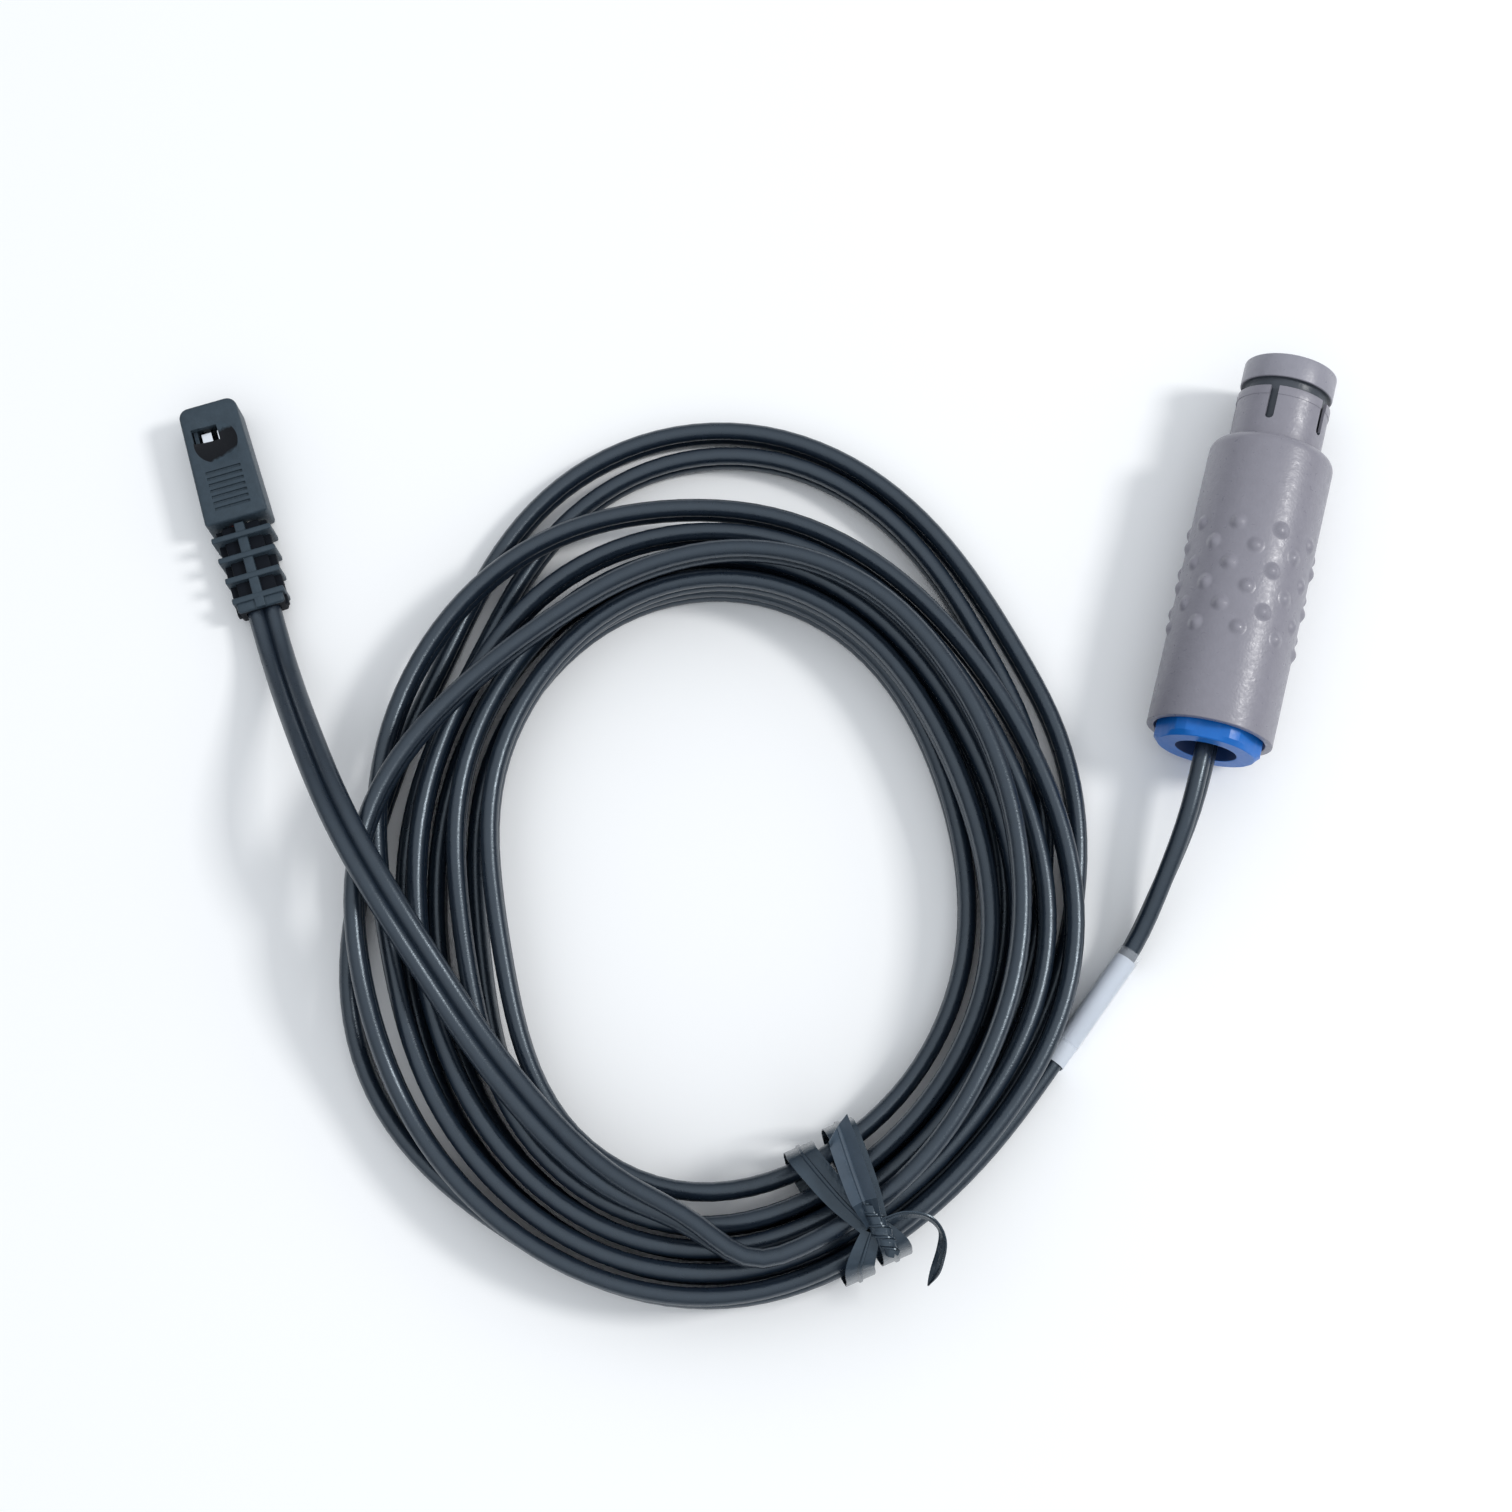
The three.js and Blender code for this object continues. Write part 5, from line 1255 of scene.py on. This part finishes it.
def tie_knot(start):
    """One of the two strands that are wound round each other along the bundle's top."""
    places, facing = [], []
    for i in range(KNOT_STEPS + 1):
        part = i / KNOT_STEPS
        angle = start + part * KNOT_TURNS * 2 * math.pi
        reach = 0.5 + 0.45 * math.sin(math.pi * part)
        height = tie_top + KNOT_HEIGHT + reach * math.cos(angle)
        sideways = 0.2 + 0.8 * part + reach * math.sin(angle)
        places.append((knot_x - 3.0 + KNOT_LENGTH * part, sideways, height))
        facing.append((0.1, math.sin(angle), math.cos(angle)))
    return ribbon("tie_knot", places, facing, width=KNOT_RIBBON, per_span=4)


tie_pieces += [tie_knot(0), tie_knot(math.pi)]
print("parts of the tie so far:", len(tie_pieces))

# %% The two ends
def from_knot(places):
    """Places counted from the knot and the bundle's top, as places in the tie's frame."""
    return [(knot_x + x, y, tie_top + z) for x, y, z in places]


def standing_end():
    """The end that stands up towards the coil's middle, folded along its wire and cut askew."""
    skew, skew_reach = -0.75, 1.2
    places = from_knot([(-0.6, 0.0, 1.2), (-3.8, 0.1, 1.8), (-7.3, 0.3, 2.5), (-12.5, 0.7, 3.4)])
    facing = [(0, 0.1, 1), (0.1, 0, 1), (0.15, -0.05, 1), (0.15, -0.1, 1)]
    thing = ribbon("tie_standing_end", places, facing, width=3.3, fold=1.3, widths=[0.6, 0.95, 1, 1])
    tip = tie_point(*places[-1])
    for vertex in thing.data.vertices:
        offset = vertex.co / MM - tip
        if abs(offset.dot(TIE_X)) < skew_reach:
            vertex.co += TIE_X * offset.dot(TIE_Y) * skew * MM
    return thing


def curled_end():
    """The end that springs out past the bundle on its edge, turns down and twists to a pointed tip."""
    places = [(-0.4, 1.2, 1.2), (-0.3, 4.0, 1.6), (1.2, 6.6, 1.3)]
    places += [(3.6, 7.5, 0.0), (6.2, 6.3, -2.6), (8.6, 3.9, -6.0)]
    facing = [(1, 0, 0.5), (1, -0.1, 0.3), (0.7, -0.7, 0.2)]
    facing += [(0, -1, 0.2), (-0.6, -0.6, 0.5), (-0.4, -0.2, 1)]
    widths = [0.9, 0.9, 0.8, 0.75, 1.15, 0.05]
    return ribbon("tie_curled_end", from_knot(places), facing, width=2.6, fold=0.3, widths=widths)


def joined(name, things):
    """One object from several."""
    bpy.ops.object.select_all(action="DESELECT")
    for thing in things:
        thing.select_set(True)
    bpy.context.view_layer.objects.active = things[0]
    bpy.ops.object.join()
    things[0].name = things[0].data.name = name
    return things[0]


tie_pieces += [standing_end(), curled_end()]
twist_tie = joined("twist_tie_ribbon", tie_pieces)
print("tie faces:", len(twist_tie.data.polygons))

# %% [markdown]
# ## Putting it together
# Each piece gets its material, rides on the CAD body that carries it, and stands for the CAD node it
# refines. The other CAD nodes stay as they are and get a material of their own.

# %% Pieces, bodies and the nodes they stand for
dressing = [
    (cord, "lead", "cord_jacket", cord_jacket, ["cord_lead", "cord_coil", "cord_tail"]),
    (release_sleeve, "shell", "grey_plastic", grey_plastic, ["outer_shell"]),
    (grip_bumps, "shell", "grey_plastic", grey_plastic, []),
    (nose, "lead", "grey_plastic", grey_plastic, ["nose_body"]),
    (slotted_collar, "lead", "grey_plastic", grey_plastic, ["latch_collar"]),
    (clamping_nut, "nut", "blue_plastic", blue_plastic, ["collet_nut"]),
    (pins[0], "lead", "pin_metal", pin_metal, ["contact_pin_1"]),
    (pins[1], "lead", "pin_metal", pin_metal, ["contact_pin_2"]),
    (label, "lead", "label_paper", label_paper, ["label_slip"]),
    (label_cover, "lead", "clear_sleeve", clear_sleeve, ["label_sleeve"]),
    (plug_body, "lead", "black_plastic", black_plastic, ["plug_housing"]),
    (relief_neck, "lead", "black_plastic", black_plastic, ["strain_relief"]),
    (relief_ribs, "lead", "black_plastic", black_plastic, []),
    (twist_tie, "lead", "tie_plastic", tie_plastic, ["twist_tie"]),
]
for thing, body, slot, material, stands_for in dressing:
    thing.data.materials.clear()
    thing.data.materials.append(material)
    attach(thing, body)
    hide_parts(*stands_for)
print("pieces:", len(dressing))

# %% CAD nodes that stay
kept_nodes = {
    "contact_insert": insulator,
    "insert_retainer": grey_plastic,
    "clamp_body": grey_plastic,
    "cord_collet": black_plastic,
    "cord_grommet": seal_rubber,
    "clamped_cord": cord_jacket,
    "core_wire_1": red_core,
    "core_wire_2": white_core,
    "contact_carrier": black_plastic,
    "contact_clip_1": clip_metal,
    "contact_clip_2": clip_metal,
    "plug_wire_1": red_core,
    "plug_wire_2": white_core,
}
for name, material in kept_nodes.items():
    nodes[name].data.materials.clear()
    nodes[name].data.materials.append(material)
print("kept CAD nodes:", len(kept_nodes))

# %% [markdown]
# ## Second finishes and painted light
# Some faces of a piece get a second colour: the nose ring is paler, and painted shade darkens the nose's
# neck groove, the collar's inside, the nut's mouth and the relief's pockets. The plug's thumb dish gets a
# painted shadow behind its window, and the tie's standing end is painted lighter, as painted light where
# it catches the lamp. Those faces are found by where they lie, and get a second material on the same mesh.

# %% Materials of the second finishes, and of the painted shade and light
ring_plastic = moulded("ring_plastic", (144, 143, 153), GREY_FINISH, Specular_IOR_Level=0.5)
# Painted shade: the nose's neck groove and the collar's inside are coloured dark grey.
groove_painted_shade = moulded("groove_painted_shade", (74, 79, 87), GREY_FINISH, Specular_IOR_Level=0.3)
# Painted shade: the nut's mouth is coloured a darker blue.
nut_mouth_painted_shade = moulded("nut_mouth_painted_shade", (18, 52, 104), {"Roughness": 0.5})
# Painted light: the tie's standing end is coloured lighter than the wraps, as where it catches the lamp.
tie_end_light_finish = {"Roughness": 0.34, "Drift": 0.3, "Drift Size": 0.002}
tie_end_painted_light = moulded("tie_end_painted_light", (68, 81, 94), tie_end_light_finish)
# Painted shade: the relief's pockets are near black, with little reflection.
recess_shade_finish = {"Roughness": 0.62, "Grain Depth": 0.00002}
recess_painted_shade = moulded("recess_painted_shade", (20, 24, 31), recess_shade_finish, Specular_IOR_Level=0.1)
print("materials:", len(bpy.data.materials))

# %% The thumb dish's painted shadow
# A painted shadow: the dish is near black behind the window and fades to the plug's colour towards the nose.
DISH_SHADOW_COLOUR = (14, 17, 23)
SHADOW_FROM, SHADOW_TO = DISH_AT - 2.4, WINDOW_AT + 0.3  # along the plug
SHADOW_EDGE_SOFTNESS = (0.4, 0.3)  # of the dark patch's two edges
RAG_SIZE, RAG_DEPTH, SHADOW_SLANT = 0.7, 0.7, 0.3


def dish_with_painted_shadow():
    """The dish's material: a painted shadow behind the window, with a ragged edge, and like the plug towards
    the nose.
    """
    material = moulded("dish_painted_shadow", (58, 71, 81), BLACK_FINISH, Specular_IOR_Level=0.2)
    t = Tree(material.node_tree)
    place = t.add("ShaderNodeTexCoord").outputs["Object"]
    own = t.add(
        "ShaderNodeMapping",
        {"vector_type": "TEXTURE"},
        Vector=place,
        Location=tuple(PLUG_PLACE * MM),
        Rotation=(0, 0, PLUG_TURN),
    ).outputs[0]
    axes = t.add("ShaderNodeSeparateXYZ", Vector=own).outputs
    rag = t.add("ShaderNodeTexNoise", Vector=own, Scale=1 / (RAG_SIZE * MM)).outputs[0]
    ragged = t.math("ADD", axes["Y"], t.math("MULTIPLY", t.math("SUBTRACT", rag, 0.5), RAG_DEPTH * MM))
    slope = t.math("SUBTRACT", ragged, t.math("MULTIPLY", axes["X"], SHADOW_SLANT))
    low, high = SHADOW_FROM * MM, SHADOW_TO * MM
    low_end, high_end = low + SHADOW_EDGE_SOFTNESS[0] * MM, high - SHADOW_EDGE_SOFTNESS[1] * MM
    above = t.add("ShaderNodeMapRange", Value=slope, From_Min=low, From_Max=low_end).outputs[0]
    below = t.add("ShaderNodeMapRange", Value=ragged, From_Min=high, From_Max=high_end).outputs[0]
    shader = material.node_tree.nodes["Principled BSDF"]
    mixed = t.add("ShaderNodeMix", {"data_type": "RGBA"})
    factor, first, second = (mixed.inputs[i] for i in (0, 6, 7))  # the sockets that mix two colours
    t.put(factor, t.math("MULTIPLY", above, below))
    t.put(first, shader.inputs["Base Color"].links[0].from_socket)
    t.put(second, from_screen(*DISH_SHADOW_COLOUR))
    t.put(shader.inputs["Base Color"], mixed.outputs[2])
    return material


dish_painted_shadow = dish_with_painted_shadow()
print("nodes in the dish's material:", len(dish_painted_shadow.node_tree.nodes))

# %% Finding faces by their place
def paint_where(thing, material, test):
    """Gives a second material to the faces whose middle, in millimetres, passes the test."""
    thing.data.materials.append(material)
    last = len(thing.data.materials) - 1
    painted = [face for face in thing.data.polygons if test(face.center / MM)]
    for face in painted:
        face.material_index = last
    print(thing.name, "faces in", material.name + ":", len(painted))


def off_axis(point):
    """Distance from the connector's axis."""
    return math.hypot(point.x, point.z - AXIS_HEIGHT)


def in_plug(point):
    """A point in the plug's own frame."""
    return Matrix.Rotation(-PLUG_TURN, 3, "Z") @ (point - PLUG_PLACE)


# %% Paint the connector
RING_REAR = NOSE_TIP - RING_LENGTH
MARGIN = 0.05
ring_inside = BARREL_BORE + 0.1
paint_where(nose, ring_plastic, lambda p: p.y > RING_REAR + MARGIN and off_axis(p) > ring_inside)
# Painted shade darkens the nose's neck groove and the collar's inside.
neck_outside = COLLAR_RADIUS - 0.2
paint_where(nose, groove_painted_shade, lambda p: p.y <= RING_REAR + MARGIN and off_axis(p) < neck_outside)
paint_where(slotted_collar, groove_painted_shade, lambda p: off_axis(p) < COLLAR_RADIUS - 0.12)
# Painted shade darkens the inside of the nut's mouth.
paint_where(clamping_nut, nut_mouth_painted_shade, lambda p: off_axis(p) < NUT_MOUTH - MARGIN)

# %% Paint the plug and the tie
POCKET_REACH = 1.6  # of the relief's pockets above and below its middle


def in_recess(point):
    """Whether a face of the relief lies low between its ribs."""
    return abs(in_plug(point).z - middle) < POCKET_REACH


def in_dish(point):
    """Whether a face of the plug lies in its thumb dish."""
    at = in_plug(point)
    deep = 0.02 < PLUG_THICKNESS - at.z < DISH_DEPTH + MARGIN
    return deep and math.hypot(at.x, at.y - DISH_AT) < DISH_RADIUS


def in_tie_end(point):
    """Whether a face of the tie belongs to its standing end, clear of the knot."""
    across = (point - Vector((COIL_CENTRE.x, COIL_CENTRE.y, 0))).dot(TIE_X)
    return across < knot_x - 3.2 and point.z > tie_top + 1.5


# Painted shade darkens the relief's pockets between its ribs.
paint_where(relief_neck, recess_painted_shade, in_recess)
# A painted shadow in the thumb dish behind the window.
paint_where(plug_body, dish_painted_shadow, in_dish)
# Painted light makes the tie's standing end lighter than the wraps.
paint_where(twist_tie, tie_end_painted_light, in_tie_end)

# %% [markdown]
# ## Floor and light
# The photograph has a nearly white table, daylight from a window on the right and a bright room all
# round, so its shadows are pale and cool. A soft square lamp stands for the window and the world for the
# room. Most of the room's light falls from the ceiling, as it does indoors, and it fades towards the
# horizon, so round black things keep dark sides. The camera alone sees the room as pale as the table: a
# brighter background costs nothing in contrast, where a brighter lamp would. Together they light a white
# surface to about white, so each colour renders about as it is written.

# %% Floor
FLOOR_REACH = 2500
corners = [(-1, -1), (1, -1), (1, 1), (-1, 1)]
floor = mesh_object("floor", [(x * FLOOR_REACH, y * FLOOR_REACH, 0) for x, y in corners], [(0, 1, 2, 3)])
floor_paint = bpy.data.materials.new("table")
floor_paint.use_nodes = True
floor_shader = floor_paint.node_tree.nodes["Principled BSDF"]
floor_shader.inputs["Base Color"].default_value = (0.99, 0.995, 1.0, 1)
floor_shader.inputs["Roughness"].default_value = 0.7
floor.data.materials.append(floor_paint)
print("floor, m:", 2 * FLOOR_REACH * MM)

# %% Window light
WINDOW_PLACE, WINDOW_FACES = Vector((0.78, 0.28, 0.95)), Vector((-0.05, -0.04, 0))
WINDOW_SIZE, WINDOW_WATTS = 0.24, 6.4
window_light = bpy.data.lights.new("window", "AREA")
window_light.size, window_light.energy = WINDOW_SIZE, WINDOW_WATTS
window_light.color = (1.0, 0.995, 0.985)
window_lamp = bpy.data.objects.new("window", window_light)
bpy.context.scene.collection.objects.link(window_lamp)
aim(window_lamp, WINDOW_PLACE, WINDOW_FACES, Vector((0, 0, 1)))
print("window from the lead, m:", round((WINDOW_PLACE - WINDOW_FACES).length, 2))

# %% Room light
ROOM_LOW, ROOM_HIGH = 0.16, 1.12  # strength of the room's light from the horizon and from overhead
ROOM_SEEN = 0.92  # strength that the camera sees behind the table
room = bpy.data.worlds.new("room")
room.use_nodes = True
t = Tree(room.node_tree)
direction = t.add("ShaderNodeTexCoord").outputs["Generated"]
upward = t.add("ShaderNodeSeparateXYZ", Vector=direction).outputs["Z"]
strength = t.add("ShaderNodeMapRange", Value=upward, To_Min=ROOM_LOW, To_Max=ROOM_HIGH).outputs[0]
seen = t.add("ShaderNodeLightPath").outputs["Is Camera Ray"]
background = room.node_tree.nodes["Background"]
background.inputs["Color"].default_value = (0.915, 0.955, 1.0, 1)
t.put(background.inputs["Strength"], t.math("MAXIMUM", strength, t.math("MULTIPLY", seen, ROOM_SEEN)))
bpy.context.scene.world = room
bpy.context.scene.view_settings.view_transform = "Standard"
print("room's strength overhead:", ROOM_HIGH)
